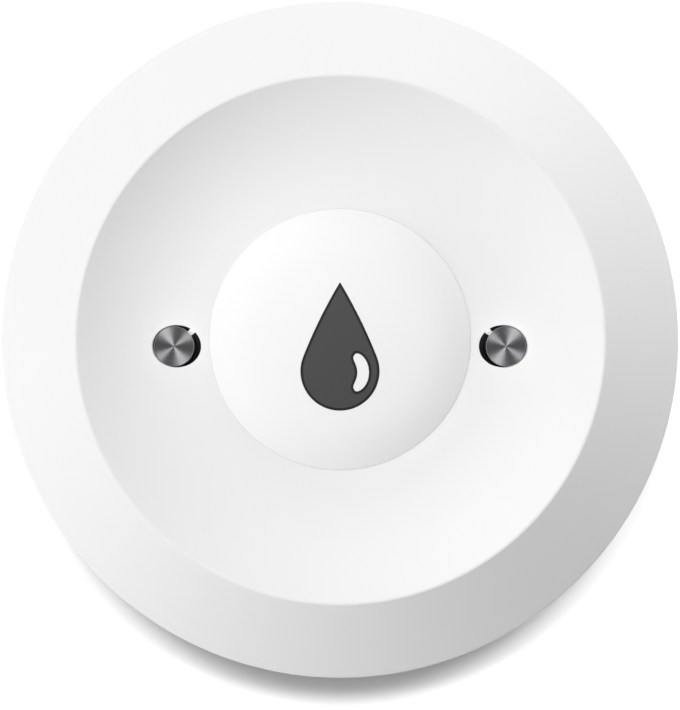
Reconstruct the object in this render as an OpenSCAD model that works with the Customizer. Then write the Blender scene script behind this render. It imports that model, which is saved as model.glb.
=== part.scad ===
// Water leak sensor: a round case that lies flat on the floor, with a drip dish on top,
// two probes in the dish, two probes underneath and a push button in the middle.
// Millimetres. +Z is up, the origin is on the floor under the middle of the case,
// and +Y points the way the tip of the drop points.

/* [Case] */
// Diameter across the rim
body_d = 60; // [58:0.5:64]
// Width of the rim, from its edge in to the ridge around the dish
rim_w = 7.75; // [7:0.25:9]
// Slope of the rim below level, in degrees
rim_slope = 40; // [34:1:44]
// Radius of the rim's outer edge
rim_edge_r = 1; // [0.4:0.1:1.6]
// Radius of the ridge's crest
ridge_edge_r = 0.3; // [0.1:0.05:0.5]
// Depth of the dish below the ridge
dish_depth = 3; // [2.4:0.1:3.6]
// Width of the level floor between the button and the curve of the dish
dish_flat = 1.6; // [1.2:0.1:2.4]
// Height of the cover's upright edge above the parting line
edge_band = 3.1; // [2.6:0.1:3.6]
// Thickness of the cover and the lower case
wall = 1.6; // [1.2:0.1:1.8]
// Height of the lower case's upright edge below the parting line
lower_band = 0.2; // [0.1:0.1:0.8]
// Chamfer along both edges of the parting line
parting_chamfer = 0.2; // [0.05:0.05:0.3]
// Thickness of the lower case's lip inside the cover
lip_t = 1.6; // [1.3:0.1:2]
// Chamfer that leads the lip into the cover
lip_chamfer = 0.3; // [0.1:0.05:0.5]

/* [Button] */
// Diameter of the button
button_d = 22.5; // [20:0.25:24]
// Height of the button's edge above the dish floor
button_step = 0.2; // [0.1:0.05:0.5]
// Diameter of the flatter crown of the button
crown_d = 14.4; // [13:0.2:16]
// Radius of curvature of the crown
crown_radius = 45; // [35:1:70]
// Radius of curvature of the shoulder outside the crown
shoulder_radius = 11; // [9:0.5:14]
// Thickness of the button at its middle
button_wall = 1.6; // [1.4:0.1:1.8]
// Thickness of the button's skirt
skirt_t = 1.2; // [1:0.1:1.5]
// Depth of the bore that guides the button
collar_depth = 3; // [2.6:0.1:3.2]
// Wall of the collar around that bore
collar_t = 0.9; // [0.7:0.1:1.2]
// Reach of the three snap hooks under the collar
hook_reach = 0.8; // [0.4:0.1:0.8]
// Thickness of a snap hook
hook_t = 0.7; // [0.5:0.1:0.8]
// Width of a snap hook, in degrees
hook_arc = 24; // [12:1:40]
// Travel of the button
button_travel = 0.3; // [0.2:0.05:0.4]
// Diameter of the boss that presses the switch
press_boss_d = 4; // [3:0.5:6]

/* [Drop symbol] */
// Width of the drop
drop_w = 6.7; // [5:0.1:8]
// Height of the drop
drop_h = 10.9; // [9:0.1:12]
// Place of the drop's middle along Y
drop_y = -0.6; // [-1:0.1:1]
// Angle above level at which the round of the drop runs into its sides
drop_shoulder = 21.5; // [18:0.5:23]
// Depth of the inlay below the top of the button
drop_depth = 0.9; // [0.7:0.05:1]
// Width of the white glint in the drop
glint_w = 1.02; // [0.6:0.02:1.2]
// Radius of the arc that the glint follows
glint_radius = 2.45; // [2.3:0.05:2.5]
// Half of the angle that the glint spans
glint_arc = 42; // [25:1:45]
// Distance of that arc's centre to the left of the round's centre
glint_offset = 0.4; // [0.2:0.05:0.6]

/* [Probes] */
// Diameter of a probe's head
probe_d = 3.4; // [3:0.1:4]
// Diameter of a probe's neck
probe_neck_d = 2.4; // [2:0.1:2.8]
// Height of the drip probes above the dish floor
drip_probe_stand = 2.2; // [1:0.1:3]
// Height of the floor probes below the lower case
floor_probe_stand = 0.6; // [0.3:0.1:0.9]
// Place of the probes along Y
probe_y = -0.6; // [-1:0.1:1]
// Chamfer around a probe's face
probe_chamfer = 0.12; // [0.05:0.01:0.3]
// Depth of a probe's head in its seal
probe_sink = 0.45; // [0.3:0.05:0.6]
// Width of the seal that shows around a probe's head
probe_seal_t = 0.35; // [0.25:0.05:0.5]
// Thickness of the seal under a probe's head
probe_seal_floor = 0.45; // [0.3:0.05:0.6]
// Plastic between the button's bore and a drip probe's seat
drip_probe_land = 0.6; // [0.4:0.1:1.2]
// Plastic between the battery door and a floor probe's seat
floor_probe_land = 1; // [0.8:0.1:1.4]
// Plastic around a probe's neck inside the case
probe_boss_t = 0.8; // [0.6:0.1:1]
// Length of a probe's neck past its boss
probe_tail = 0.7; // [0.6:0.05:0.8]
// Distance from a probe's end to the circuit board
probe_contact_h = 0.9; // [0.7:0.05:1]
// Diameter of the push-on clip on a probe's neck
clip_d = 3.9; // [3.6:0.1:4]
// Thickness of the push-on clip
clip_t = 0.4; // [0.3:0.05:0.5]
// Width of the slits in the push-on clip
clip_slit = 0.5; // [0.3:0.05:0.7]

/* [Circuit board] */
// Thickness of the circuit board
board_t = 1.2; // [1:0.1:1.6]
// Board left outside the floor probes
board_margin = 1.7; // [1.5:0.1:2]
// Space around each piece on the circuit board
board_space = 0.5; // [0.3:0.1:0.6]
// Side of the switch's square body
switch_w = 6; // [5:0.1:6.4]
// Height of the switch's body
switch_body_h = 3.4; // [3:0.1:3.8]
// Height of the switch with its plunger
switch_h = 5; // [4.8:0.1:5.6]
// Width of the switch's leads
switch_lead_w = 0.7; // [0.5:0.1:1]
// Diameter of the switch's plunger
plunger_d = 3.4; // [3:0.1:3.6]
// Depth of the plunger's foot in the switch's body
plunger_sink = 0.75; // [0.5:0.05:1.2]
// Height of the plunger's top above the dish floor
plunger_rise = 0.2; // [0:0.05:0.3]
// Side of the radio chip
chip_w = 5; // [4:0.5:6]
// Thickness of the radio chip
chip_t = 0.9; // [0.6:0.1:1.2]
// Diameter of the mark at the radio chip's corner
chip_mark_d = 0.4; // [0.2:0.1:0.6]
// Length of the chip antenna
antenna_l = 7; // [5:0.5:8]
// Width of the chip antenna
antenna_w = 2; // [1.5:0.1:2.4]
// Thickness of the chip antenna
antenna_t = 1; // [0.8:0.1:1.4]
// Length of the crystal
crystal_l = 3.2; // [2.5:0.1:3.6]
// Width of the crystal
crystal_w = 2.5; // [2:0.1:2.8]
// Thickness of the crystal
crystal_t = 0.8; // [0.5:0.1:1]
// Length of the status lamp
lamp_l = 2.8; // [2:0.1:3.4]
// Width of the status lamp
lamp_w = 2; // [1.2:0.1:2.4]
// Thickness of the status lamp
lamp_t = 0.9; // [0.6:0.1:1.2]
// Depth of the status lamp's cone
lamp_cone = 0.3; // [0.1:0.05:0.5]
// Length of a resistor or capacitor
passive_l = 1.6; // [1:0.1:2]
// Width of a resistor or capacitor
passive_w = 0.8; // [0.5:0.1:1]
// Thickness of a resistor or capacitor
passive_t = 0.5; // [0.3:0.05:0.6]

/* [Contacts] */
// Thickness of the sheet metal contacts
contact_t = 0.2; // [0.15:0.01:0.3]
// Width of the sheet metal contacts
contact_w = 2; // [1.5:0.1:2.4]
// Length of a contact's soldered foot
contact_foot = 2.4; // [1.6:0.1:2.6]
// Length of a contact's pressing end
contact_pad = 2; // [1.4:0.1:2.4]
// Length of the slope between them
contact_run = 1.8; // [1.2:0.1:2.4]

/* [Battery] */
// Diameter of the coin cell
cell_d = 20; // [18:0.5:21]
// Thickness of the coin cell
cell_t = 3.2; // [2.9:0.1:3.6]
// Edge radius of the coin cell
cell_edge = 0.4; // [0.2:0.05:0.5]
// Distance from the coin cell to the circuit board
cell_contact_h = 1.15; // [0.9:0.05:1.4]
// Thickness of the battery door
door_t = 1.6; // [1.4:0.1:2]
// Reach of the door's flange past its plug
door_rim = 1.3; // [1.2:0.1:1.8]
// Wall of the door's plug
plug_t = 1.4; // [1.2:0.1:1.8]
// Reach of the door's locking lugs
lug_reach = 1; // [0.7:0.1:1.1]
// Thickness of the locking lugs
lug_t = 0.7; // [0.5:0.05:0.8]
// Width of a locking lug, in degrees
lug_arc = 24; // [14:1:28]
// Play of a locking lug on each side, in degrees
lug_play = 2; // [1:0.5:4]
// Width of the ribs that stop the lugs, in degrees
stop_arc = 4; // [3:0.5:6]
// Turn that frees the door, in degrees
door_turn = 40; // [35:1:44]
// Room between the door's plug and the top of the coin cell
finger_room = 1.15; // [1:0.05:1.3]
// Wall of the ring that holds the door
ring_t = 1.4; // [1:0.1:1.8]
// Length of the coin slot
coin_slot_l = 15; // [10:0.5:18]
// Width of the coin slot
coin_slot_w = 2.2; // [1.6:0.1:2.6]
// Depth of the coin slot
coin_slot_depth = 0.9; // [0.6:0.1:1]

/* [Seals and feet] */
// Thickness of the case seal's cord
case_seal_d = 1; // [0.8:0.05:1.1]
// Thickness of the button seal's cord
button_seal_d = 0.7; // [0.5:0.05:0.8]
// Depth of the button seal below the dish floor
button_seal_drop = 0.7; // [0.5:0.05:1]
// Thickness of the door seal's cord
door_seal_d = 0.8; // [0.6:0.05:0.9]
// Diameter of a foot
foot_d = 7; // [5:0.5:7.5]
// Height of the case above the floor
foot_proud = 1; // [1:0.1:1.6]
// Depth of a foot in its pocket
foot_sink = 0.6; // [0.4:0.05:0.7]
// Radius of a foot's lower edge
foot_edge_r = 0.4; // [0.2:0.05:0.5]
// Distance of a foot from the edge of the flat base
foot_inset = 0.5; // [0.2:0.1:1]

/* [Screws] */
// Thread diameter of the case screws
case_screw_d = 2.2; // [2:0.1:2.4]
// Head diameter of the case screws
case_screw_head_d = 4; // [3.6:0.1:4.2]
// Head thickness of the case screws
case_screw_head_t = 1.4; // [1.2:0.1:1.6]
// Length of the case screws below the head
case_screw_l = 8; // [7:0.5:9]
// Depth of the case screws' heads in the lower case
case_screw_sink = 0.6; // [0.4:0.1:0.8]
// Wall around the case screws' heads
case_boss_t = 1; // [0.8:0.1:1.2]
// Depth of the bosses' tops below the parting line
case_boss_drop = 0.5; // [0.3:0.1:1]
// Diameter of the posts that the case screws bite in
post_d = 5; // [4.6:0.1:5.4]
// Thread diameter of the board screws
board_screw_d = 1.7; // [1.4:0.1:2]
// Head diameter of the board screws
board_screw_head_d = 3.2; // [2.8:0.1:3.6]
// Head thickness of the board screws
board_screw_head_t = 1; // [0.8:0.1:1.2]
// Length of the board screws below the head
board_screw_l = 4; // [3.4:0.1:4.2]
// Wall around the board screws' holes
standoff_t = 1.1; // [0.9:0.1:1.3]
// Width of the cross in a screw's head
cross_w = 0.5; // [0.4:0.05:0.7]
// Depth of the cross in a screw's head
cross_depth = 0.5; // [0.3:0.05:0.7]
// Room past the end of each screw
screw_room = 0.5; // [0.2:0.1:0.8]

/* [Clearances] */
// Button in its bore, and plunger in its switch
slide_gap = 0.1; // [0.05:0.01:0.15]
// Pins, screws, clips and seals in their seats
fit_gap = 0.03; // [0.02:0.01:0.05]
// Pieces that lie on one another
seat_gap = 0.05; // [0.03:0.01:0.08]
// Hooks and lugs behind what they hold, and feet in their pockets
catch_gap = 0.1; // [0.05:0.01:0.15]
// Lower case's lip in the cover
lip_gap = 0.15; // [0.1:0.01:0.2]
// Battery door in the lower case, and screw heads in their holes
door_gap = 0.2; // [0.1:0.02:0.25]
// Coin cell in the door's plug
cell_gap = 0.3; // [0.2:0.05:0.4]
// Circuit board beside the posts
post_gap = 0.5; // [0.3:0.1:0.8]

/* [Hidden] */
$fn = 64;
spoke_angles = [90, 210, 330];
turned_angles = [30, 150, 270];
sides = [-1, 1];
side_words = ["left", "right"];
cut = 1;

// Radii, from the middle of the case outwards
body_r = body_d / 2;
ridge_r = body_r - rim_w;
button_r = button_d / 2;
crown_r = crown_d / 2;
bore_r = button_r + slide_gap;
collar_r = bore_r + collar_t;
skirt_r = button_r - skirt_t;
skirt_middle_r = button_r - skirt_t / 2;
hook_r = bore_r + hook_reach;
probe_r = probe_d / 2;
probe_neck_r = probe_neck_d / 2;
probe_seal_r = probe_r + probe_seal_t;
probe_seat_r = probe_seal_r + fit_gap;
probe_hole_r = probe_neck_r + fit_gap;
probe_boss_r = probe_hole_r + probe_boss_t;
drip_probe_x = bore_r + drip_probe_land + probe_seat_r;
cell_r = cell_d / 2;
cup_r = cell_r + cell_gap;
plug_r = cup_r + plug_t;
door_r = plug_r + door_rim;
door_recess_r = door_r + door_gap;
ledge_r = plug_r + door_gap;
stop_r = ledge_r + catch_gap;
lug_r = plug_r + lug_reach;
lug_room_r = lug_r + door_gap;
lug_slot_r = lug_room_r + catch_gap;
ring_r = max(lug_room_r, door_recess_r) + ring_t;
floor_probe_x = door_recess_r + floor_probe_land + probe_seat_r;
board_r = floor_probe_x + board_margin;
board_screw_ring = board_r - board_screw_head_d / 2 - board_space;
standoff_r = board_screw_d / 2 + fit_gap + standoff_t;
post_r = post_d / 2;
post_ring = board_r + post_gap + post_r;
case_boss_r = case_screw_head_d / 2 + door_gap + case_boss_t;

// Heights, from the floor upwards
base_z = foot_proud;
inner_floor_z = base_z + wall;
boss_foot_z = base_z + wall / 2;
head_seat_z = base_z + case_screw_sink + case_screw_head_t;
screw_tip_z = head_seat_z + case_screw_l;
door_top = base_z + door_t;
recess_top = door_top + catch_gap;
cell_z = door_top + seat_gap;
cell_top = cell_z + cell_t;
plug_top = cell_top - finger_room;
lug_z = plug_top - lug_t;
ledge_top = lug_z - catch_gap;
ledge_middle_z = (recess_top + ledge_top) / 2;
ring_top = plug_top + door_gap;
board_z = cell_top + cell_contact_h;
board_top = board_z + board_t;
switch_top = board_top + switch_body_h;
plunger_z = switch_top - plunger_sink;
plunger_top = board_top + switch_h;
dish_z = plunger_top - plunger_rise;
collar_z = dish_z - collar_depth;
hook_top = collar_z - catch_gap;
hook_z = hook_top - hook_t;
ridge_z = dish_z + dish_depth;
rim_z = ridge_z - (body_r - ridge_r) * tan(rim_slope);
part_z = rim_z - edge_band;
case_boss_top = part_z - case_boss_drop;
drip_probe_end = board_top + probe_contact_h;
drip_boss_z = drip_probe_end + probe_tail;
floor_probe_end = board_z - probe_contact_h;
floor_boss_top = floor_probe_end - probe_tail;
probe_seat_depth = probe_sink + probe_seal_floor + seat_gap;

// Curve of the dish, crest of the ridge and edge of the rim
dish_flat_r = bore_r + dish_flat;
dish_run = ridge_r - dish_flat_r;
dish_radius = (pow(dish_run, 2) + pow(dish_depth, 2)) / (2 * dish_depth);
dish_centre = [dish_flat_r, dish_z + dish_radius];
dish_slope = asin(dish_run / dish_radius);
crest_half = (dish_slope + rim_slope) / 2;
crest_cut = ridge_edge_r * tan(crest_half);
crest_foot = [ridge_r, ridge_z] - crest_cut * [cos(dish_slope), sin(dish_slope)];
crest_centre = crest_foot + ridge_edge_r * [sin(dish_slope), -cos(dish_slope)];
crest_lean = 90 + (dish_slope - rim_slope) / 2;
crest_inner = [ridge_r, ridge_z] - wall / cos(crest_half) * [cos(crest_lean), sin(crest_lean)];
rim_cut = rim_edge_r * tan((90 - rim_slope) / 2);
dish_end = dish_slope - atan2(crest_cut, dish_radius);
dish_inner_end = dish_slope - atan2(wall * tan(crest_half), dish_radius + wall);

// Lower case, and its lip inside the cover
lower_round = part_z - base_z - lower_band;
lower_inner = lower_round - wall;
base_r = body_r - lower_round;
lower_centre = [base_r, base_z + lower_round];
cover_inner_r = body_r - wall;
lip_r = cover_inner_r - lip_gap;
lip_inner_r = lip_r - lip_t;
lip_top = cover_under(lip_r) - 2 * lip_gap;
foot_r = foot_d / 2;
foot_ring = base_r - foot_r - foot_inset;

// Dome of the button
crown_slope = asin(crown_r / crown_radius);
shoulder_slope = asin(sin(crown_slope) + (button_r - crown_r) / shoulder_radius);
crown_rise = crown_radius * (1 - cos(crown_slope));
shoulder_rise = shoulder_radius * (cos(crown_slope) - cos(shoulder_slope));
dome_z = dish_z + button_step;
dome_top = dome_z + crown_rise + shoulder_rise;
ceiling_z = dome_top - button_wall;
inlay_z = dome_top - drop_depth;
crown_centre = [0, dome_top - crown_radius];
shoulder_centre = crown_centre + (crown_radius - shoulder_radius) * [sin(crown_slope), cos(crown_slope)];

// Seals: radius inside the cord, and height of its middle
case_seal_r = cover_inner_r - fit_gap - case_seal_d;
case_seal_z = (part_z + lip_top) / 2;
button_seal_r = bore_r - fit_gap - button_seal_d;
button_seal_z = dish_z - button_seal_drop - button_seal_d / 2;
door_seal_r = ledge_r - fit_gap - door_seal_d;

// Outline of the drop: a round, and two arcs that run from it to the tip
drop_r = drop_w / 2;
drop_reach = drop_h - drop_r;
drop_lead = (pow(drop_reach, 2) - pow(drop_r, 2)) / (2 * (drop_r - drop_reach * sin(drop_shoulder)));
drop_side = drop_lead * [cos(drop_shoulder), sin(drop_shoulder)];
drop_middle = [0, drop_y - drop_h / 2 + drop_r];
glint_fullness = 0.7;
glint_steps = 32;

// Places on the circuit board
parts_ring = skirt_r - crystal_l / 2 - board_space;
passive_angles = [-18, 0, 18, 162, 180, 198];
crystal_angle = 225;
chip_y = switch_w / 2 + board_space + chip_w / 2;
lamp_y = -switch_w / 2 - 2 * board_space - lamp_w / 2;
antenna_y = -board_r + board_space + antenna_w;

// Points along an arc about a centre, from the step given on
function arc(centre, radius, from, to, steps = 8, first = 0) =
    [for (i = [first:steps])
        let (a = from + (to - from) * i / steps)
        centre + radius * [cos(a), sin(a)]];

// Height of the cover's underside below the rim at a radius
function cover_under(r) = ridge_z - (r - ridge_r) * tan(rim_slope) - wall / cos(rim_slope);

// The cover's upper surface, from the dish floor out to the upright edge
function cover_surface() = concat(
    arc(dish_centre, dish_radius, -90, -90 + dish_end, 16),
    arc(crest_centre, ridge_edge_r, 90 + dish_slope, 90 - rim_slope, 6),
    arc([body_r - rim_edge_r, rim_z - rim_cut], rim_edge_r, 90 - rim_slope, 0, 6)
);

// The lower case's inner surface, from its lip in to the flat floor
function lower_inside() =
    let (level = (lip_inner_r - base_r) / lower_inner)
    level <= 0 ? [[lip_inner_r, inner_floor_z]]
        : level >= 1 ? arc(lower_centre, lower_inner, 0, -90)
        : arc(lower_centre, lower_inner, -acos(level), -90);

// The button's upper surface, from its middle out to its edge
function dome_surface() = concat(
    arc(crown_centre, crown_radius, 90, 90 - crown_slope, 6),
    arc(shoulder_centre, shoulder_radius, 90 - crown_slope, 90 - shoulder_slope, 8, 1)
);

// Outline of the drop about the middle of its round, moved outwards by grow
function drop_points(grow) =
    let (
        side_radius = drop_r + drop_lead + grow,
        tip = acos(drop_side[0] / side_radius)
    )
    concat(
        arc([0, 0], drop_r + grow, 180 - drop_shoulder, 360 + drop_shoulder, 24, 1),
        arc(-drop_side, side_radius, drop_shoulder, tip, 6, 1),
        arc([drop_side[0], -drop_side[1]], side_radius, 180 - tip, 180 - drop_shoulder, 6, 1)
    );

// Keeps the sign of a number while raising its size to a power
function signed_pow(x, p) = sign(x) * pow(abs(x), p);

// Outline of the glint about the middle of the drop's round, moved outwards by grow
function glint_points(grow) =
    [for (i = [0:glint_steps - 1])
        let (
            a = 360 * i / glint_steps,
            half_arc = glint_arc + grow / glint_radius * 180 / PI,
            bend = half_arc * signed_pow(cos(a), glint_fullness),
            reach = glint_radius + (glint_w / 2 + grow) * signed_pow(sin(a), glint_fullness)
        )
        [reach * cos(bend) - glint_offset, reach * sin(bend)]];

// Places its children at a radius and a list of angles
module around(radius, angles) {
    for (a = angles) rotate(a) translate([radius, 0, 0]) children();
}

// A part of a turn of a profile, centred on an angle
module sector(angle, width) {
    rotate(angle - width / 2) rotate_extrude(angle = width) children();
}

// A round cord, closed to a ring
module seal_ring(inner_r, cord_d, z) {
    translate([0, 0, z]) rotate_extrude() translate([inner_r + cord_d / 2, 0]) circle(d = cord_d);
}

// Square groove for such a ring, open towards the outside
module seal_groove(inner_r, outside_r, cord_d, z) {
    bottom_r = inner_r - fit_gap;
    height = cord_d + 2 * catch_gap;
    rotate_extrude() translate([bottom_r, z - height / 2]) square([outside_r + cut - bottom_r, height]);
}

// Box that stands on the circuit board, centred in plan
module board_box(length, width, height) {
    translate([-length / 2, -width / 2, board_top]) cube([length, width, height]);
}

// Screw with its head below z = 0 and its thread above it
module screw(thread_d, head_d, head_t, length) {
    cross_l = head_d * 2 / 3;
    color("#b8bbbf") difference() {
        union() {
            translate([0, 0, -head_t]) cylinder(d = head_d, h = head_t);
            cylinder(d = thread_d, h = length);
        }
        for (a = [0, 90]) rotate(a) translate([-cross_l / 2, -cross_w / 2, -head_t - cut])
            cube([cross_l, cross_w, cross_depth + cut]);
    }
}

// Bent strip that rises from z = 0 and presses with its flat end over the origin
module leaf(rise) {
    slope_x = -contact_pad / 2;
    foot_x = slope_x - contact_run;
    end_x = foot_x - contact_foot;
    slant = contact_t / 2;
    color("#d9b45a") rotate([90, 0, 0]) translate([0, 0, -contact_w / 2]) linear_extrude(contact_w) polygon([
        [end_x, 0],
        [foot_x + slant, 0],
        [slope_x + slant, rise - contact_t],
        [contact_pad / 2, rise - contact_t],
        [contact_pad / 2, rise],
        [slope_x - slant, rise],
        [foot_x - slant, contact_t],
        [end_x, contact_t]
    ]);
}

// Places its children at a drip probe, with z = 0 on the dish floor
module at_drip_probe(side) {
    translate([side * drip_probe_x, probe_y, dish_z]) children();
}

// Places its children at a floor probe, head down, with z = 0 on the underside of the case
module at_floor_probe(side) {
    translate([side * floor_probe_x, probe_y, base_z]) mirror([0, 0, 1]) children();
}

// Turned pin: a wide head that stands out and a long neck below it
module probe(stand, neck) {
    color("silver") rotate_extrude() polygon([
        [0, -neck],
        [probe_neck_r, -neck],
        [probe_neck_r, -probe_sink],
        [probe_r, -probe_sink],
        [probe_r, stand - probe_chamfer],
        [probe_r - probe_chamfer, stand],
        [0, stand]
    ]);
}

// Stepped ring between a probe's head and its seat
module probe_seal() {
    step_z = -probe_sink - fit_gap;
    bottom_z = -probe_sink - probe_seal_floor;
    color("#1c1c1e") rotate_extrude() polygon([
        [probe_hole_r, bottom_z],
        [probe_seal_r, bottom_z],
        [probe_seal_r, 0],
        [probe_r + fit_gap, 0],
        [probe_r + fit_gap, step_z],
        [probe_hole_r, step_z]
    ]);
}

// Push-on ring with three slits, just past the end of a boss at the depth given
module probe_clip(depth) {
    color("silver") translate([0, 0, -depth - seat_gap - clip_t]) difference() {
        cylinder(d = clip_d, h = clip_t);
        translate([0, 0, -cut]) cylinder(r = probe_hole_r, h = clip_t + 2 * cut);
        around(probe_hole_r, spoke_angles) translate([-clip_slit, -clip_slit / 2, -cut])
            cube([2 * clip_slit, clip_slit, clip_t + 2 * cut]);
    }
}

// Hole and seat for a probe, cut from the outer face at z = 0
module probe_seat(depth) {
    translate([0, 0, -probe_seat_depth]) cylinder(r = probe_seat_r, h = probe_seat_depth + cut);
    translate([0, 0, -depth - cut]) cylinder(r = probe_hole_r, h = depth + cut);
}

// Posts inside the cover that reach half way into its wall
module cover_posts() {
    intersection() {
        translate([0, 0, -wall / 2])
            rotate_extrude() polygon(concat(cover_surface(), [[body_r, 0], [0, 0], [0, dish_z]]));
        around(post_ring, turned_angles) translate([0, 0, case_boss_top + seat_gap])
            cylinder(r = post_r, h = ridge_z);
    }
}

module top_cover() {
    color("white") difference() {
        union() {
            rotate_extrude() polygon(concat(
                [[bore_r, dish_z]],
                cover_surface(),
                [
                    [body_r, part_z + parting_chamfer],
                    [body_r - parting_chamfer, part_z],
                    [cover_inner_r, part_z],
                    [cover_inner_r, cover_under(cover_inner_r)],
                    crest_inner
                ],
                arc(dish_centre, dish_radius + wall, -90 + dish_inner_end, -90, 12),
                [[collar_r, dish_z - wall], [collar_r, collar_z], [bore_r, collar_z]]
            ));
            cover_posts();
            for (side = sides) translate([side * drip_probe_x, probe_y, drip_boss_z])
                cylinder(r = probe_boss_r, h = dish_z - wall / 2 - drip_boss_z);
        }
        for (side = sides) at_drip_probe(side) probe_seat(dish_z - drip_boss_z);
        around(post_ring, turned_angles) translate([0, 0, case_boss_top])
            cylinder(d = case_screw_d + 2 * fit_gap, h = screw_tip_z + screw_room - case_boss_top);
    }
}

// Shell of the lower case with the ring that holds the battery door
module lower_shell() {
    rotate_extrude() polygon(concat(
        [[door_recess_r, base_z]],
        arc(lower_centre, lower_round, -90, 0),
        [
            [body_r, part_z - parting_chamfer],
            [body_r - parting_chamfer, part_z],
            [lip_r, part_z],
            [lip_r, lip_top - lip_chamfer],
            [lip_r - lip_chamfer, lip_top],
            [lip_inner_r, lip_top]
        ],
        lower_inside(),
        [
            [ring_r, inner_floor_z],
            [ring_r, ring_top],
            [lug_room_r, ring_top],
            [lug_room_r, ledge_top],
            [ledge_r, ledge_top],
            [ledge_r, recess_top],
            [door_recess_r, recess_top]
        ]
    ));
}

// Bosses for the case screws, the board screws and the floor probes, and stops for the lugs
module lower_bosses() {
    around(post_ring, turned_angles) translate([0, 0, boss_foot_z])
        cylinder(r = case_boss_r, h = case_boss_top - boss_foot_z);
    around(board_screw_ring, spoke_angles) translate([0, 0, boss_foot_z])
        cylinder(r = standoff_r, h = board_z - boss_foot_z);
    for (side = sides) translate([side * floor_probe_x, probe_y, boss_foot_z])
        cylinder(r = probe_boss_r, h = floor_boss_top - boss_foot_z);
    for (a = turned_angles) sector(a + lug_arc / 2 + lug_play + stop_arc / 2, stop_arc)
        translate([stop_r, ledge_middle_z]) square([ring_r - ring_t / 2 - stop_r, plug_top - ledge_middle_z]);
}

// Slots through which the lugs go in from below
module lug_slots() {
    for (a = turned_angles) sector(a - door_turn, lug_arc + 2 * lug_play)
        translate([cup_r, recess_top - cut]) square([lug_slot_r - cup_r, ring_top - recess_top + 2 * cut]);
}

module lower_case() {
    color("white") difference() {
        union() {
            lower_shell();
            lower_bosses();
        }
        lug_slots();
        seal_groove(case_seal_r, lip_r, case_seal_d, case_seal_z);
        around(post_ring, turned_angles) {
            translate([0, 0, base_z - cut])
                cylinder(d = case_screw_head_d + 2 * door_gap, h = head_seat_z - base_z + cut);
            translate([0, 0, base_z]) cylinder(d = case_screw_d + 2 * catch_gap, h = case_boss_top);
        }
        around(board_screw_ring, spoke_angles) translate([0, 0, board_top - board_screw_l - screw_room])
            cylinder(d = board_screw_d + 2 * fit_gap, h = board_top);
        for (side = sides) at_floor_probe(side) probe_seat(floor_boss_top - base_z);
        around(foot_ring, spoke_angles) translate([0, 0, base_z - cut])
            cylinder(r = foot_r + catch_gap, h = foot_sink + seat_gap + cut);
    }
}

module case_seal() {
    color("#2b2b2d") seal_ring(case_seal_r, case_seal_d, case_seal_z);
}

// Prism of the drop with its glint left out
module drop_prism(grow) {
    translate([drop_middle[0], drop_middle[1], inlay_z]) linear_extrude(button_wall) difference() {
        polygon(drop_points(grow));
        polygon(glint_points(-grow));
    }
}

module button_cap() {
    color("white") difference() {
        union() {
            rotate_extrude() polygon(concat(
                dome_surface(),
                [
                    [button_r, hook_z],
                    [skirt_r, hook_z],
                    [skirt_r, dome_z - button_wall / 2],
                    [crown_r, ceiling_z],
                    [0, ceiling_z]
                ]
            ));
            for (a = spoke_angles) sector(a, hook_arc) polygon([
                [skirt_middle_r, hook_z],
                [bore_r, hook_z],
                [hook_r, hook_top - hook_t / 2],
                [hook_r, hook_top],
                [skirt_middle_r, hook_top]
            ]);
            translate([0, 0, plunger_top + fit_gap])
                cylinder(d = press_boss_d, h = ceiling_z + button_wall / 4 - plunger_top - fit_gap);
        }
        drop_prism(0);
        seal_groove(button_seal_r, button_r, button_seal_d, button_seal_z);
    }
}

module drop_inlay() {
    color("#4f4f4f") intersection() {
        translate([0, 0, fit_gap]) drop_prism(-fit_gap);
        rotate_extrude() polygon(concat(dome_surface(), [[button_r, collar_z], [0, collar_z]]));
    }
}

module button_seal() {
    color("#f0f0ee") seal_ring(button_seal_r, button_seal_d, button_seal_z);
}

module circuit_board() {
    color("#1f6b3a") difference() {
        translate([0, 0, board_z]) cylinder(r = board_r, h = board_t);
        around(board_screw_ring, spoke_angles) translate([0, 0, board_z - cut])
            cylinder(d = board_screw_d + 2 * catch_gap, h = board_t + 2 * cut);
    }
}

module switch_body() {
    well = plunger_sink + button_travel + catch_gap;
    color("#2a2a2c") difference() {
        union() {
            board_box(switch_w, switch_w, switch_body_h);
            for (x = sides, y = sides) translate([x * switch_w / 2, y * switch_w / 3, 0])
                board_box(4 * switch_lead_w, switch_lead_w, contact_t);
        }
        translate([0, 0, switch_top - well]) cylinder(d = plunger_d + 2 * slide_gap, h = well + cut);
    }
}

module switch_plunger() {
    color("#3a3a3c") translate([0, 0, plunger_z]) cylinder(d = plunger_d, h = plunger_top - plunger_z);
}

module radio_chip() {
    mark = chip_w / 2 - 2 * chip_mark_d;
    color("#232325") translate([0, chip_y, 0]) difference() {
        board_box(chip_w, chip_w, chip_t);
        translate([-mark, mark, board_top + chip_t - chip_mark_d / 2]) cylinder(d = chip_mark_d, h = cut);
    }
}

module chip_antenna() {
    color("#d8d2c4") translate([0, antenna_y, 0]) board_box(antenna_l, antenna_w, antenna_t);
}

module crystal() {
    lid_step = crystal_t / 4;
    color("silver") rotate(crystal_angle) translate([parts_ring, 0, 0]) {
        board_box(crystal_l, crystal_w, crystal_t - lid_step);
        board_box(crystal_l - 2 * lid_step, crystal_w - 2 * lid_step, crystal_t);
    }
}

module status_lamp() {
    color("#f4efe0") translate([0, lamp_y, 0]) difference() {
        board_box(lamp_l, lamp_w, lamp_t);
        translate([0, 0, board_top + lamp_t - lamp_cone])
            cylinder(d1 = lamp_w / 2, d2 = lamp_w * 4 / 5, h = lamp_cone + fit_gap);
    }
}

module board_passives() {
    color("#6b5a45") around(parts_ring, passive_angles) board_box(passive_l, passive_w, passive_t);
}

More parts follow.
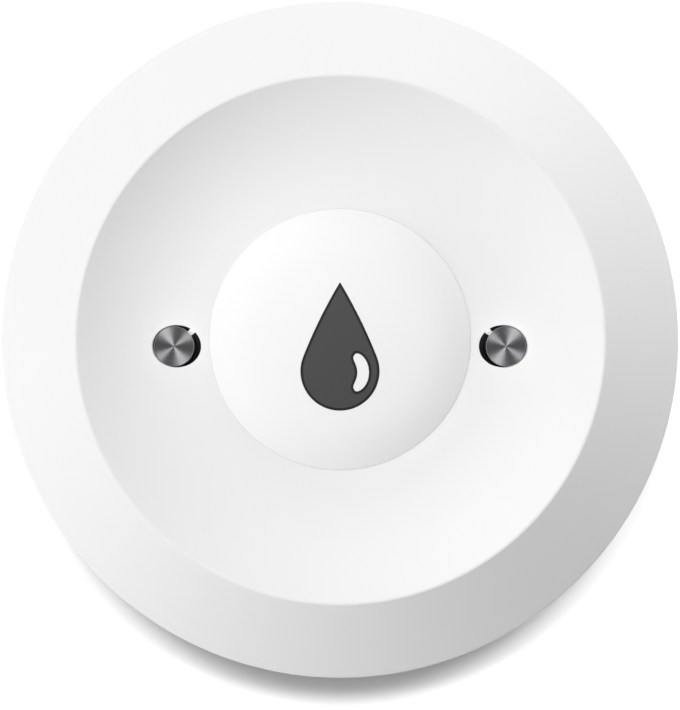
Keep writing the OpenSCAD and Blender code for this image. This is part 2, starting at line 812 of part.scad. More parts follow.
module coin_cell() {
    cap_r = cell_r - 3 * cell_edge;
    color("#c9ccd0") translate([0, 0, cell_z]) rotate_extrude() polygon([
        [0, 0],
        [cell_r - cell_edge, 0],
        [cell_r, cell_edge],
        [cell_r, cell_t - 1.5 * cell_edge],
        [cell_r - cell_edge / 2, cell_t - cell_edge],
        [cap_r, cell_t - cell_edge],
        [cap_r - cell_edge / 2, cell_t],
        [0, cell_t]
    ]);
}

// Bent strip from the board down to the side of the coin cell
module positive_contact() {
    tip_z = plug_top + catch_gap;
    touch_r = cell_r + fit_gap;
    leg_r = touch_r + 3 * contact_t;
    foot_r = leg_r + contact_foot;
    color("#d9b45a") rotate(turned_angles[0]) rotate([90, 0, 0]) translate([0, 0, -contact_w])
        linear_extrude(2 * contact_w) polygon([
            [foot_r, board_z],
            [leg_r, board_z],
            [touch_r, tip_z + 2 * contact_t],
            [touch_r, tip_z + contact_t],
            [leg_r, tip_z],
            [leg_r + contact_t, tip_z],
            [touch_r + contact_t, tip_z + 1.5 * contact_t],
            [leg_r + contact_t, board_z - contact_t],
            [foot_r, board_z - contact_t]
        ]);
}

module negative_contact() {
    translate([0, 0, board_z]) mirror([0, 0, 1]) leaf(cell_contact_h - fit_gap);
}

module battery_door() {
    slot_run = coin_slot_l - coin_slot_w;
    color("#f2f2f0") difference() {
        union() {
            rotate_extrude() polygon([
                [0, base_z],
                [door_r, base_z],
                [door_r, door_top],
                [plug_r, door_top],
                [plug_r, plug_top],
                [cup_r, plug_top],
                [cup_r, door_top],
                [0, door_top]
            ]);
            for (a = turned_angles) sector(a, lug_arc)
                translate([plug_r - plug_t / 2, lug_z]) square([lug_reach + plug_t / 2, lug_t]);
        }
        translate([0, 0, base_z - cut]) linear_extrude(coin_slot_depth + cut) {
            square([slot_run, coin_slot_w], center = true);
            for (x = sides) translate([x * slot_run / 2, 0]) circle(d = coin_slot_w);
        }
        seal_groove(door_seal_r, plug_r, door_seal_d, ledge_middle_z);
    }
}

module door_seal() {
    color("#2b2b2d") seal_ring(door_seal_r, door_seal_d, ledge_middle_z);
}

module drip_probe(side) {
    at_drip_probe(side) probe(drip_probe_stand, dish_z - drip_probe_end);
}

module drip_probe_seal(side) {
    at_drip_probe(side) probe_seal();
}

module drip_probe_clip(side) {
    at_drip_probe(side) probe_clip(dish_z - drip_boss_z);
}

module drip_probe_contact(side) {
    translate([side * drip_probe_x, probe_y, board_top]) rotate(90) leaf(probe_contact_h - fit_gap);
}

module floor_probe(side) {
    at_floor_probe(side) probe(floor_probe_stand, floor_probe_end - base_z);
}

module floor_probe_seal(side) {
    at_floor_probe(side) probe_seal();
}

module floor_probe_clip(side) {
    at_floor_probe(side) probe_clip(floor_boss_top - base_z);
}

module floor_probe_contact(side) {
    translate([side * floor_probe_x, probe_y, board_z]) mirror([0, 0, 1])
        rotate(side > 0 ? 0 : 180) leaf(probe_contact_h - fit_gap);
}

module case_screw(angle) {
    rotate(angle) translate([post_ring, 0, head_seat_z])
        screw(case_screw_d, case_screw_head_d, case_screw_head_t, case_screw_l);
}

module board_screw(angle) {
    rotate(angle) translate([board_screw_ring, 0, board_top]) mirror([0, 0, 1])
        screw(board_screw_d, board_screw_head_d, board_screw_head_t, board_screw_l);
}

module foot(angle) {
    top_z = base_z + foot_sink;
    color("#d9d9d7") rotate(angle) translate([foot_ring, 0, 0]) rotate_extrude() polygon(concat(
        [[0, top_z], [0, 0]],
        arc([foot_r - foot_edge_r, foot_edge_r], foot_edge_r, -90, 0, 4),
        [[foot_r, top_z]]
    ));
}

top_cover();
lower_case();
case_seal();
button_cap();
drop_inlay();
button_seal();
circuit_board();
switch_body();
switch_plunger();
radio_chip();
chip_antenna();
crystal();
status_lamp();
board_passives();
coin_cell();
positive_contact();
negative_contact();
battery_door();
door_seal();
for (i = [0:1]) {
    drip_probe(sides[i]);
    drip_probe_seal(sides[i]);
    drip_probe_clip(sides[i]);
    drip_probe_contact(sides[i]);
    floor_probe(sides[i]);
    floor_probe_seal(sides[i]);
    floor_probe_clip(sides[i]);
    floor_probe_contact(sides[i]);
}
for (i = [0:2]) {
    case_screw(turned_angles[i]);
    board_screw(spoke_angles[i]);
    foot(spoke_angles[i]);
}
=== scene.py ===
"""Looks, stage, light and camera of a round water leak sensor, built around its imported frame."""

import logging
import math
from dataclasses import dataclass
from enum import Enum

import bmesh
import bpy
from mathutils import Matrix, Vector


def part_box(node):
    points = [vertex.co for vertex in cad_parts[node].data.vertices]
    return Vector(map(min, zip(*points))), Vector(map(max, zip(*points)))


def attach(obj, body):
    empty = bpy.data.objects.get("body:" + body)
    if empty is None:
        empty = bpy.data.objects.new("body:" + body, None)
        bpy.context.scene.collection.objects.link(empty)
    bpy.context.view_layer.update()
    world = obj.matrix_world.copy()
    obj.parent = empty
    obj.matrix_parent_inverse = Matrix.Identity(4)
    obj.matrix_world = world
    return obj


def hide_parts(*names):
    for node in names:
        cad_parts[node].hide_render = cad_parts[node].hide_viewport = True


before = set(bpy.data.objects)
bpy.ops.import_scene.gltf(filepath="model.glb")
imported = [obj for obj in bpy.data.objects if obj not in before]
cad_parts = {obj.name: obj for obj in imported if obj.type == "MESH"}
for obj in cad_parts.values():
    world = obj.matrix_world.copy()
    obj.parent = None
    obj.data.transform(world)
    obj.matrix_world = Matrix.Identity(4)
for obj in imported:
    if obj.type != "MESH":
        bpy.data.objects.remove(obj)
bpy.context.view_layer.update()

LOG = logging.getLogger("leak_sensor")
MM = 0.001
FINE_TURN = 224
SMALL_TURN = 72
SHARP_ANGLE = math.radians(28)
MERGE_DISTANCE = 1e-5

Point = tuple[float, float]
Colour = tuple[float, float, float]


class Body(Enum):
    """The bodies of the frame that pieces ride on."""

    CASE = "case"
    BUTTON = "button"
    DOOR = "door"


class Side(Enum):
    """The two sides that probes stand on."""

    LEFT = "left"
    RIGHT = "right"


class Cut(Enum):
    """How one solid is cut with another."""

    AWAY = "DIFFERENCE"
    INSIDE = "INTERSECT"


def arc(centre: Point, radius: float, start: float, end: float, steps: int,
        first: int = 0) -> list[Point]:
    """Lays points along an arc.

    Args:
        centre: Middle of the arc.
        radius: Radius of the arc.
        start: Angle of the first end, in degrees.
        end: Angle of the last end, in degrees.
        steps: Number of equal steps between the ends.
        first: Step to start from, 1 where the first end is already there.

    Returns:
        The points, in order.
    """
    angles = [math.radians(start + (end - start) * i / steps) for i in range(first, steps + 1)]
    return [(centre[0] + radius * math.cos(a), centre[1] + radius * math.sin(a)) for a in angles]


def middle(node: str) -> Point:
    """Finds the middle of a CAD node in plan.

    Args:
        node: Name of the node.

    Returns:
        Its middle along X and Y, in millimetres.
    """
    low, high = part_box(node)
    return (low.x + high.x) / 2 / MM, (low.y + high.y) / 2 / MM


class Solid:
    """A mesh while it is being modelled, in millimetres."""

    def __init__(self, mesh: bmesh.types.BMesh) -> None:
        """Keeps the mesh that the solid starts from."""
        self.mesh = mesh

    @classmethod
    def turned(cls, profile: list[Point], closed: bool = False, steps: int = FINE_TURN) -> "Solid":
        """Spins a profile once round the Z axis.

        Args:
            profile: Points as radius and height.
            closed: Whether the last point joins the first, as on a ring.
            steps: Number of steps round the axis.

        Returns:
            The turned solid.
        """
        mesh = bmesh.new()
        verts = [mesh.verts.new((r, 0, z)) for r, z in profile]
        pairs = list(zip(verts, verts[1:]))
        if closed:
            pairs.append((verts[-1], verts[0]))
        edges = [mesh.edges.new(pair) for pair in pairs]
        bmesh.ops.spin(mesh, geom=verts + edges, cent=(0, 0, 0), axis=(0, 0, 1), angle=math.tau,
                       steps=steps, use_merge=True)
        return cls(mesh).cleaned()

    @classmethod
    def prism(cls, outline: list[Point], bottom: float, top: float) -> "Solid":
        """Raises a flat outline to a prism.

        Args:
            outline: Points in plan, in order.
            bottom: Height of its lower face.
            top: Height of its upper face.

        Returns:
            The prism.
        """
        mesh = bmesh.new()
        face = mesh.faces.new([mesh.verts.new((x, y, bottom)) for x, y in outline])
        raised = bmesh.ops.extrude_face_region(mesh, geom=[face], use_keep_orig=True)["geom"]
        lifted = [v for v in raised if isinstance(v, bmesh.types.BMVert)]
        bmesh.ops.translate(mesh, vec=(0, 0, top - bottom), verts=lifted)
        return cls(mesh).cleaned()

    @classmethod
    def sector(cls, corners: list[Point], angle: float, width: float, steps: int = 12) -> "Solid":
        """Spins a closed profile through part of a turn and closes both its ends.

        Args:
            corners: Points as radius and height, in order.
            angle: Direction of its middle, in degrees.
            width: Angle that it spans, in degrees.
            steps: Number of steps along it.

        Returns:
            The part of a ring.
        """
        mesh = bmesh.new()
        turn = Matrix.Rotation(math.radians(angle - width / 2), 4, "Z")
        face = mesh.faces.new([mesh.verts.new(turn @ Vector((r, 0, z))) for r, z in corners])
        bmesh.ops.spin(mesh, geom=[face], cent=(0, 0, 0), axis=(0, 0, 1),
                       angle=math.radians(width), steps=steps)
        return cls(mesh).cleaned()

    @classmethod
    def bar(cls, length: float, width: float, height: float, taper: float = 1.0) -> "Solid":
        """Makes a bar on the origin that narrows towards its top.

        Args:
            length: Length along X at its foot.
            width: Width along Y at its foot.
            height: Height along Z.
            taper: Share of the foot's size that its top keeps.

        Returns:
            The bar.
        """
        mesh = bmesh.new()
        bmesh.ops.create_cube(mesh, size=1.0)
        bmesh.ops.translate(mesh, vec=(0, 0, 0.5), verts=mesh.verts)
        top = [v for v in mesh.verts if v.co.z > 0.5]
        bmesh.ops.scale(mesh, vec=(taper, taper, 1), verts=top)
        bmesh.ops.scale(mesh, vec=(length, width, height), verts=mesh.verts)
        return cls(mesh).cleaned()

    def cleaned(self) -> "Solid":
        """Merges doubles at seams and poles, and turns every face outwards."""
        bmesh.ops.remove_doubles(self.mesh, verts=self.mesh.verts, dist=MERGE_DISTANCE)
        bmesh.ops.dissolve_degenerate(self.mesh, edges=self.mesh.edges, dist=MERGE_DISTANCE)
        bmesh.ops.recalc_face_normals(self.mesh, faces=self.mesh.faces)
        return self

    def moved(self, x: float = 0.0, y: float = 0.0, z: float = 0.0) -> "Solid":
        """Moves the solid by a distance along each axis."""
        bmesh.ops.translate(self.mesh, vec=(x, y, z), verts=self.mesh.verts)
        return self

    def turned_by(self, angle: float) -> "Solid":
        """Turns the solid round the Z axis by an angle in degrees."""
        bmesh.ops.rotate(self.mesh, cent=(0, 0, 0), matrix=Matrix.Rotation(math.radians(angle), 3, "Z"),
                         verts=self.mesh.verts)
        return self

    def flipped(self) -> "Solid":
        """Turns the solid head down about the X axis."""
        over = Matrix.Rotation(math.pi, 3, "X")
        bmesh.ops.rotate(self.mesh, cent=(0, 0, 0), matrix=over, verts=self.mesh.verts)
        return self

    def squeezed(self, share: float) -> "Solid":
        """Makes the solid oval, narrower along Y by a share."""
        bmesh.ops.scale(self.mesh, vec=(1, share, 1), verts=self.mesh.verts)
        return self

    def joined(self, other: "Solid") -> "Solid":
        """Adds another solid's shell to this one."""
        mesh = bpy.data.meshes.new("joined")
        other.mesh.to_mesh(mesh)
        self.mesh.from_mesh(mesh)
        bpy.data.meshes.remove(mesh)
        return self

    def shaped(self, other: "Solid", cut: Cut = Cut.AWAY) -> "Solid":
        """Cuts the solid with another one, which is used up.

        Args:
            other: The solid that cuts.
            cut: Whether its space is taken away or is all that stays.

        Returns:
            This solid, cut.
        """
        kept, tool = self.as_object("kept"), other.as_object("tool")
        step = kept.modifiers.new("cut", "BOOLEAN")
        step.operation, step.solver, step.object = cut.value, "EXACT", tool
        evaluated = kept.evaluated_get(bpy.context.evaluated_depsgraph_get())
        result = bpy.data.meshes.new_from_object(evaluated)
        self.mesh.clear()
        self.mesh.from_mesh(result)
        for used in (kept, tool):
            mesh = used.data
            bpy.data.objects.remove(used)
            bpy.data.meshes.remove(mesh)
        bpy.data.meshes.remove(result)
        return self

    def as_object(self, name: str) -> bpy.types.Object:
        """Links the solid to the scene as an object.

        Args:
            name: Name of the object.

        Returns:
            The object, at the origin.
        """
        data = bpy.data.meshes.new(name)
        self.mesh.to_mesh(data)
        made = bpy.data.objects.new(name, data)
        bpy.context.scene.collection.objects.link(made)
        return made

    def marked(self, finish: int, upright: float) -> "Solid":
        """Gives another finish to the faces that stand more upright than a share of the Z axis.

        Args:
            finish: Number of the finish.
            upright: Share of a face's normal along Z below which it counts as a side.

        Returns:
            This solid.
        """
        for face in self.mesh.faces:
            if abs(face.normal.z) < upright:
                face.material_index = finish
        return self

    def placed(self, name: str, body: Body, nodes: tuple[str, ...],
               *finishes: "Finish") -> bpy.types.Object:
        """Turns the solid into a finished piece that stands for CAD nodes.

        Args:
            name: Name of the piece.
            body: Body that it rides on.
            nodes: CAD nodes that it stands for.
            *finishes: Finishes of its surface, of which the first is the node's own.

        Returns:
            The piece's object.
        """
        bmesh.ops.scale(self.mesh, vec=(MM, MM, MM), verts=self.mesh.verts)
        for face in self.mesh.faces:
            face.smooth = True
        piece = self.as_object(name)
        piece.data.set_sharp_from_angle(angle=SHARP_ANGLE)
        for finish in finishes:
            piece.data.materials.append(finish.material(piece))
        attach(piece, body.value)
        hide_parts(*nodes)
        LOG.info("%s: %d faces on %s", name, len(piece.data.polygons), body.value)
        self.mesh.free()
        return piece


class NodeKit:
    """A node tree while it is put together."""

    def __init__(self, tree: bpy.types.NodeTree) -> None:
        """Takes hold of a tree's nodes and links."""
        self.nodes = tree.nodes
        self.links = tree.links

    def feed(self, socket: bpy.types.NodeSocket, value: object) -> None:
        """Links an output to a socket, or sets the socket's value."""
        if isinstance(value, bpy.types.NodeSocket):
            self.links.new(value, socket)
        else:
            socket.default_value = value

    def add(self, kind: str, settings: dict[str, object] | None = None,
            **inputs: object) -> bpy.types.Node:
        """Adds a node, sets its options and feeds its inputs.

        Args:
            kind: Type of the node.
            settings: Options of the node, by name.
            **inputs: Values or other nodes' outputs, by socket name with underscores for spaces.

        Returns:
            The node.
        """
        node = self.nodes.new(kind)
        for name, value in (settings or {}).items():
            setattr(node, name, value)
        for name, value in inputs.items():
            self.feed(node.inputs[name.replace("_", " ")], value)
        return node

    def math(self, operation: str, *values: object) -> bpy.types.NodeSocket:
        """Adds a Math node and returns its result."""
        node = self.add("ShaderNodeMath", {"operation": operation})
        for socket, value in zip(node.inputs, values):
            self.feed(socket, value)
        return node.outputs["Value"]

    def seen_rays(self) -> bpy.types.NodeSocket:
        """Tells rays from the camera, from reflections and through clear pieces from the rest.

        Returns:
            1 for rays that show what they meet, and 0 for rays that only light.
        """
        path = self.add("ShaderNodeLightPath").outputs
        shown = self.math("MAXIMUM", path["Is Camera Ray"], path["Is Glossy Ray"])
        return self.math("MAXIMUM", shown, path["Is Transmission Ray"])

    def part_rays(self, lighting: bpy.types.Node, seen: bpy.types.Node, output: bpy.types.Node) -> None:
        """Gives rays that only light one shader, and rays that show what they meet another.

        Args:
            lighting: Shader for the rays that only light.
            seen: Shader for the rays that show what they meet.
            output: Output node of the tree.
        """
        mix = self.add("ShaderNodeMixShader")
        for socket, value in zip(mix.inputs, (self.seen_rays(), lighting.outputs[0], seen.outputs[0])):
            self.feed(socket, value)
        self.feed(output.inputs["Surface"], mix.outputs[0])


class Shader(NodeKit):
    """A material's nodes while they are put together."""

    def __init__(self, name: str) -> None:
        """Starts a material with its Principled shader and Object coordinates."""
        self.made = bpy.data.materials.new(name)
        self.made.use_nodes = True
        super().__init__(self.made.node_tree)
        self.surface = self.nodes["Principled BSDF"]
        self.place = self.add("ShaderNodeTexCoord").outputs["Object"]

    def set(self, **values: float) -> None:
        """Sets the shader's own sockets by name, with underscores for spaces."""
        for name, value in values.items():
            self.surface.inputs[name.replace("_", " ")].default_value = value

    def group(self, tree: bpy.types.NodeTree, **inputs: object) -> bpy.types.Node:
        """Places a node group and feeds its inputs."""
        return self.add("ShaderNodeGroup", {"node_tree": tree}, **inputs)

    def blend(self, amount: bpy.types.NodeSocket, low: Colour, high: Colour) -> bpy.types.NodeSocket:
        """Blends two colours by a mask."""
        node = self.add("ShaderNodeMix", {"data_type": "RGBA"}, Factor=amount)
        colours = [s for s in node.inputs if s.type == "RGBA"]
        for socket, colour in zip(colours, (low, high)):
            socket.default_value = (*colour, 1.0)
        return next(s for s in node.outputs if s.type == "RGBA")

    def vary(self, mask: bpy.types.NodeSocket, colours: tuple[Colour, Colour], roughness: Point) -> None:
        """Lets the base colour and the roughness follow a mask.

        Args:
            mask: Values from 0 to 1.
            colours: Base colours at 0 and at 1.
            roughness: Roughness at 0 and at 1.
        """
        low, high = roughness
        spread = self.add("ShaderNodeMapRange", Value=mask, To_Min=low, To_Max=high)
        self.feed(self.surface.inputs["Base Color"], self.blend(mask, *colours))
        self.feed(self.surface.inputs["Roughness"], spread.outputs["Result"])

    def relief(self, height: bpy.types.NodeSocket, depth: float) -> None:
        """Raises the surface by a height, at a depth in metres."""
        bump = self.add("ShaderNodeBump", Height=height, Distance=depth, Strength=1.0)
        self.feed(self.surface.inputs["Normal"], bump.outputs["Normal"])


class GroupTree(NodeKit):
    """A shader node group while it is put together."""

    def __init__(self, name: str, inputs: dict[str, str], outputs: dict[str, str]) -> None:
        """Starts a group with named sockets, given with their socket types."""
        self.tree = bpy.data.node_groups.new(name, "ShaderNodeTree")
        super().__init__(self.tree)
        for side, sockets in (("INPUT", inputs), ("OUTPUT", outputs)):
            for socket, kind in sockets.items():
                self.tree.interface.new_socket(socket, in_out=side, socket_type=kind)
        self.given = self.add("NodeGroupInput").outputs
        self.results = self.add("NodeGroupOutput").inputs


def moulded_grain() -> bpy.types.NodeTree:
    """Builds the group for the fine grain and slow unevenness of moulded pieces, once.

    Returns:
        A group that turns a place and a grain size into a height and a blotch mask.
    """
    name = "moulded_grain"
    if name in bpy.data.node_groups:
        return bpy.data.node_groups[name]
    sizes = {"Place": "NodeSocketVector", "Grain": "NodeSocketFloat", "Blotch": "NodeSocketFloat"}
    group = GroupTree(name, sizes, {"Height": "NodeSocketFloat", "Unevenness": "NodeSocketFloat"})
    grain = group.add("ShaderNodeTexNoise", Vector=group.given["Place"], Scale=group.given["Grain"],
                      Detail=2.0, Roughness=0.55)
    blotch = group.add("ShaderNodeTexNoise", Vector=group.given["Place"], Scale=group.given["Blotch"],
                       Detail=3.0, Roughness=0.5)
    group.feed(group.results["Height"], grain.outputs["Fac"])
    group.feed(group.results["Unevenness"], blotch.outputs["Fac"])
    return group.tree


def turned_rings() -> bpy.types.NodeTree:
    """Builds the group for the rings that a turning tool leaves, once.

    Returns:
        A group that turns a place round the axis and a ring density into a height and a sheen mask.
    """
    name = "turned_rings"
    if name in bpy.data.node_groups:
        return bpy.data.node_groups[name]
    group = GroupTree(name, {"Place": "NodeSocketVector", "Rings": "NodeSocketFloat"},
                      {"Height": "NodeSocketFloat", "Sheen": "NodeSocketFloat"})
    flat = group.add("ShaderNodeVectorMath", {"operation": "MULTIPLY"})
    group.feed(flat.inputs[0], group.given["Place"])
    flat.inputs[1].default_value = (1.0, 1.0, 0.0)
    radius = group.add("ShaderNodeVectorMath", {"operation": "LENGTH"})
    group.feed(radius.inputs[0], flat.outputs["Vector"])
    turns = group.math("MULTIPLY", radius.outputs["Value"], group.given["Rings"])
    pace, reach = 0.37, 9.0
    wander = group.add("ShaderNodeTexNoise", {"noise_dimensions": "1D"}, W=turns, Scale=pace, Detail=2.0)
    drift = group.math("MULTIPLY", wander.outputs["Fac"], reach)
    phase = group.math("MULTIPLY_ADD", turns, math.tau, drift)
    group.feed(group.results["Height"], group.math("SINE", phase))
    group.feed(group.results["Sheen"], wander.outputs["Fac"])
    return group.tree


def drawn_lines() -> bpy.types.NodeTree:
    """Builds the group for the straight lines of rolled and drawn metal, once.

    Returns:
        A group that turns a place and a line density into a height and a sheen mask.
    """
    name = "drawn_lines"
    if name in bpy.data.node_groups:
        return bpy.data.node_groups[name]
    group = GroupTree(name, {"Place": "NodeSocketVector", "Lines": "NodeSocketFloat"},
                      {"Height": "NodeSocketFloat", "Sheen": "NodeSocketFloat"})
    stretched = group.add("ShaderNodeVectorMath", {"operation": "MULTIPLY"})
    group.feed(stretched.inputs[0], group.given["Place"])
    along = 0.04
    stretched.inputs[1].default_value = (along, 1.0, 1.0)
    lines = group.add("ShaderNodeTexNoise", Vector=stretched.outputs["Vector"],
                      Scale=group.given["Lines"], Detail=4.0)
    group.feed(group.results["Height"], lines.outputs["Fac"])
    group.feed(group.results["Sheen"], lines.outputs["Fac"])
    return group.tree


def scaled(colour: Colour, share: float) -> Colour:
    """Darkens a colour to a share of itself."""
    return tuple(channel * share for channel in colour)


@dataclass(frozen=True)
class Finish:
    """A finish that is laid on pieces of one material slot.

    Attributes:
        slot: The record's material slot.
        colour: Base colour, linear.
        roughness: Mean roughness of the surface.
        name: Name of the material, where it isn't the slot's.
        gloss_spread: How far the roughness wanders.
    """

    slot: str
    colour: Colour
    roughness: float
    name: str = ""
    gloss_spread: float = 0.05

    def material(self, piece: bpy.types.Object) -> bpy.types.Material:
        """Gives the material for a piece, made once for each name and apart from the frame's own."""
        name = f"{self.name or self.slot}_finish"
        return bpy.data.materials.get(name) or self.shade(Shader(name))

    def either_side(self) -> Point:
        """Gives the least and the greatest roughness, evenly about the mean."""
        return self.roughness - self.gloss_spread, self.roughness + self.gloss_spread

    def shade(self, shader: Shader) -> bpy.types.Material:
        """Lays the finish on a new material and returns it."""
        raise NotImplementedError


@dataclass(frozen=True)
class MouldedPlastic(Finish):
    """Satin moulded plastic with a fine spark-eroded grain.

    Attributes:
        grain: Grains to the metre.
        blotch: Slow patches to the metre.
        depth: Depth of the grain, in metres.
        uneven: Share by which the colour wanders.
        reflection: Specular level of the surface.
    """

    grain: float = 9000.0
    blotch: float = 160.0
    depth: float = 2.0e-6
    uneven: float = 0.015
    reflection: float = 0.45

    def shade(self, shader: Shader) -> bpy.types.Material:
        """Lays grain, faint mottling and uneven gloss on a new material."""
        grain = shader.group(moulded_grain(), Place=shader.place, Grain=self.grain, Blotch=self.blotch)
        shader.set(Specular_IOR_Level=self.reflection)
        darker = scaled(self.colour, 1 - self.uneven)
        shader.vary(grain.outputs["Unevenness"], (darker, self.colour), self.either_side())
        shader.relief(grain.outputs["Height"], self.depth)
        return shader.made


@dataclass(frozen=True)
class SoftRubber(MouldedPlastic):
    """Matt silicone or rubber with a coarser, softer skin."""

    grain: float = 5000.0
    depth: float = 6.0e-6
    uneven: float = 0.12
    reflection: float = 0.3


@dataclass(frozen=True)
class TurnedSteel(Finish):
    """Steel turned on a lathe, with fine rings round each piece's own axis.

    Attributes:
        rings: Rings to the metre.
        depth: Depth of the rings, in metres.
        stretch: How far the rings draw reflections out across themselves.
        dull: Share of the colour that is left where the sheen is least.
    """

    rings: float = 9000.0
    depth: float = 2.0e-6
    stretch: float = 0.85
    dull: float = 0.82

    def material(self, piece: bpy.types.Object) -> bpy.types.Material:
        """Gives a material whose rings are centred on the piece."""
        shader = Shader(f"{self.name or self.slot}_{piece.name}")
        corners = [Vector(corner) for corner in piece.bound_box]
        centre = sum(corners, Vector()) / len(corners)
        centred = shader.add("ShaderNodeMapping", Vector=shader.place, Location=-centre)
        shader.place = centred.outputs["Vector"]
        return self.shade(shader)

    def shade(self, shader: Shader) -> bpy.types.Material:
        """Lays rings and an uneven sheen on a new material."""
        rings = shader.group(turned_rings(), Place=shader.place, Rings=self.rings)
        shader.set(Metallic=1.0, Anisotropic=self.stretch, Anisotropic_Rotation=0.25)
        dulled = scaled(self.colour, self.dull)
        shader.vary(rings.outputs["Sheen"], (dulled, self.colour), self.either_side())
        round_axis = shader.add("ShaderNodeTangent", {"direction_type": "RADIAL", "axis": "Z"})
        shader.feed(shader.surface.inputs["Tangent"], round_axis.outputs["Tangent"])
        shader.relief(rings.outputs["Height"], self.depth)
        return shader.made


@dataclass(frozen=True)
class SheetMetal(Finish):
    """Rolled or drawn metal with fine straight lines.

    Attributes:
        lines: Lines to the metre.
        depth: Depth of the lines, in metres.
        dull: Share of the colour that is left where the sheen is least.
    """

    lines: float = 6000.0
    depth: float = 1.5e-6
    dull: float = 0.85
    gloss_spread: float = 0.07

    def shade(self, shader: Shader) -> bpy.types.Material:
        """Lays lines and an uneven sheen on a new material."""
        lines = shader.group(drawn_lines(), Place=shader.place, Lines=self.lines)
        shader.set(Metallic=1.0)
        dulled = scaled(self.colour, self.dull)
        shader.vary(lines.outputs["Sheen"], (dulled, self.colour), self.either_side())
        shader.relief(lines.outputs["Height"], self.depth)
        return shader.made


@dataclass(frozen=True)
class SolderMask(Finish):
    """Green solder mask with copper tracks that show through it.

    Attributes:
        track: Colour over the tracks.
        cells: Track cells to the metre.
        edge: Distances from a cell's middle between which its track begins, as shares of the cell.
        depth: Height of the tracks, in metres.
    """

    track: Colour = (0.03, 0.27, 0.09)
    cells: float = 420.0
    edge: Point = (0.42, 0.48)
    depth: float = 3.0e-5
    gloss_spread: float = 0.06

    def shade(self, shader: Shader) -> bpy.types.Material:
        """Lays tracks as raised straight bands on a new material."""
        maze = shader.add("ShaderNodeTexVoronoi", {"distance": "CHEBYCHEV", "feature": "F1"},
                          Vector=shader.place, Scale=self.cells)
        inner, outer = self.edge
        band = shader.add("ShaderNodeMapRange", Value=maze.outputs["Distance"],
                          From_Min=inner, From_Max=outer).outputs["Result"]
        shader.vary(band, (self.colour, self.track), (self.roughness + self.gloss_spread, self.roughness))
        shader.relief(band, self.depth)
        return shader.made


COVER = MouldedPlastic("cover_plastic", (0.84, 0.84, 0.84), 0.5, reflection=0.35)
CASE = MouldedPlastic("case_plastic", (0.82, 0.82, 0.82), 0.48)
BUTTON = MouldedPlastic("button_plastic", (0.88, 0.88, 0.88), 0.5, reflection=0.25)
SYMBOL = MouldedPlastic("symbol_plastic", (0.071, 0.071, 0.071), 0.5, uneven=0.06, reflection=0.2)
# Near-black painted shade for the band round the drop and its glint, standing in for the shade in their
# seam.
DROP_SEAM_SHADE = MouldedPlastic("symbol_plastic", (0.022, 0.022, 0.022), 0.5, name="symbol_painted_seam_shade",
                         reflection=0.2)
STEEL = TurnedSteel("probe_steel", (0.42, 0.42, 0.43), 0.4, stretch=0.95)
POLISHED_STEEL = TurnedSteel("probe_steel", (0.62, 0.62, 0.63), 0.08, name="probe_side", stretch=0.0)
BLACK_SEAL = SoftRubber("probe_seal_rubber", (0.008, 0.008, 0.008), 0.6, reflection=0.2)
CORD_SEAL = SoftRubber("seal_rubber", (0.02, 0.02, 0.02), 0.65)
WHITE_SEAL = SoftRubber("button_seal_rubber", (0.8, 0.8, 0.79), 0.6, uneven=0.04)
PADS = SoftRubber("foot_rubber", (0.55, 0.55, 0.54), 0.7, uneven=0.06)
SCREWS = TurnedSteel("screw_steel", (0.55, 0.55, 0.56), 0.32, rings=5000.0, stretch=0.5)
CLIPS = SheetMetal("clip_steel", (0.5, 0.5, 0.51), 0.32)
BRASS = SheetMetal("contact_brass", (0.75, 0.56, 0.28), 0.3)
CELL = SheetMetal("cell_steel", (0.6, 0.61, 0.62), 0.28, lines=3000.0)
CRYSTAL = SheetMetal("crystal_steel", (0.65, 0.65, 0.64), 0.3)
BOARD = SolderMask("board_laminate", (0.012, 0.15, 0.045), 0.3)
SWITCH = MouldedPlastic("switch_plastic", (0.025, 0.025, 0.027), 0.5, uneven=0.1)
CHIP = MouldedPlastic("chip_plastic", (0.02, 0.02, 0.022), 0.6, uneven=0.12)
CERAMIC = MouldedPlastic("ceramic", (0.6, 0.56, 0.47), 0.55, grain=14000.0, uneven=0.1)
LAMP = MouldedPlastic("lamp_plastic", (0.88, 0.84, 0.72), 0.2, uneven=0.05)

INNER_FINISHES: dict[Finish, tuple[str, ...]] = {
    BOARD: ("circuit_board",),
    SWITCH: ("switch_body", "switch_plunger"),
    CHIP: ("radio_chip",),
    CERAMIC: ("chip_antenna", "board_passives"),
    CRYSTAL: ("crystal",),
    LAMP: ("status_lamp",),
    CELL: ("coin_cell",),
    BRASS: ("positive_contact", "negative_contact", "probe_contact"),
    CLIPS: ("probe_clip",),
    CORD_SEAL: ("case_seal", "door_seal"),
    WHITE_SEAL: ("button_seal",),
    SCREWS: ("board_screw",),
}


@dataclass
class CaseSizes:
    """Sizes that the two halves of the case share, in millimetres.

    Attributes:
        body_r: Radius of the rim.
        base_z: Height of the flat base above the floor.
        part_z: Height of the parting line.
        wall: Thickness of the shells.
        parting_chamfer: Chamfer along the parting line.
        dish_z: Height of the dish floor.
        bore_r: Radius of the button's bore.
    """

    body_r: float = 30.0
    base_z: float = 1.0
    part_z: float = 6.397
    wall: float = 1.6
    parting_chamfer: float = 0.2
    dish_z: float = 13.0
    bore_r: float = 11.235

    @classmethod
    def from_frame(cls) -> "CaseSizes":
        """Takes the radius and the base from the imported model."""
        low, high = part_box("lower_case")
        return cls(body_r=(high.x - low.x) / 2 / MM, base_z=low.z / MM)


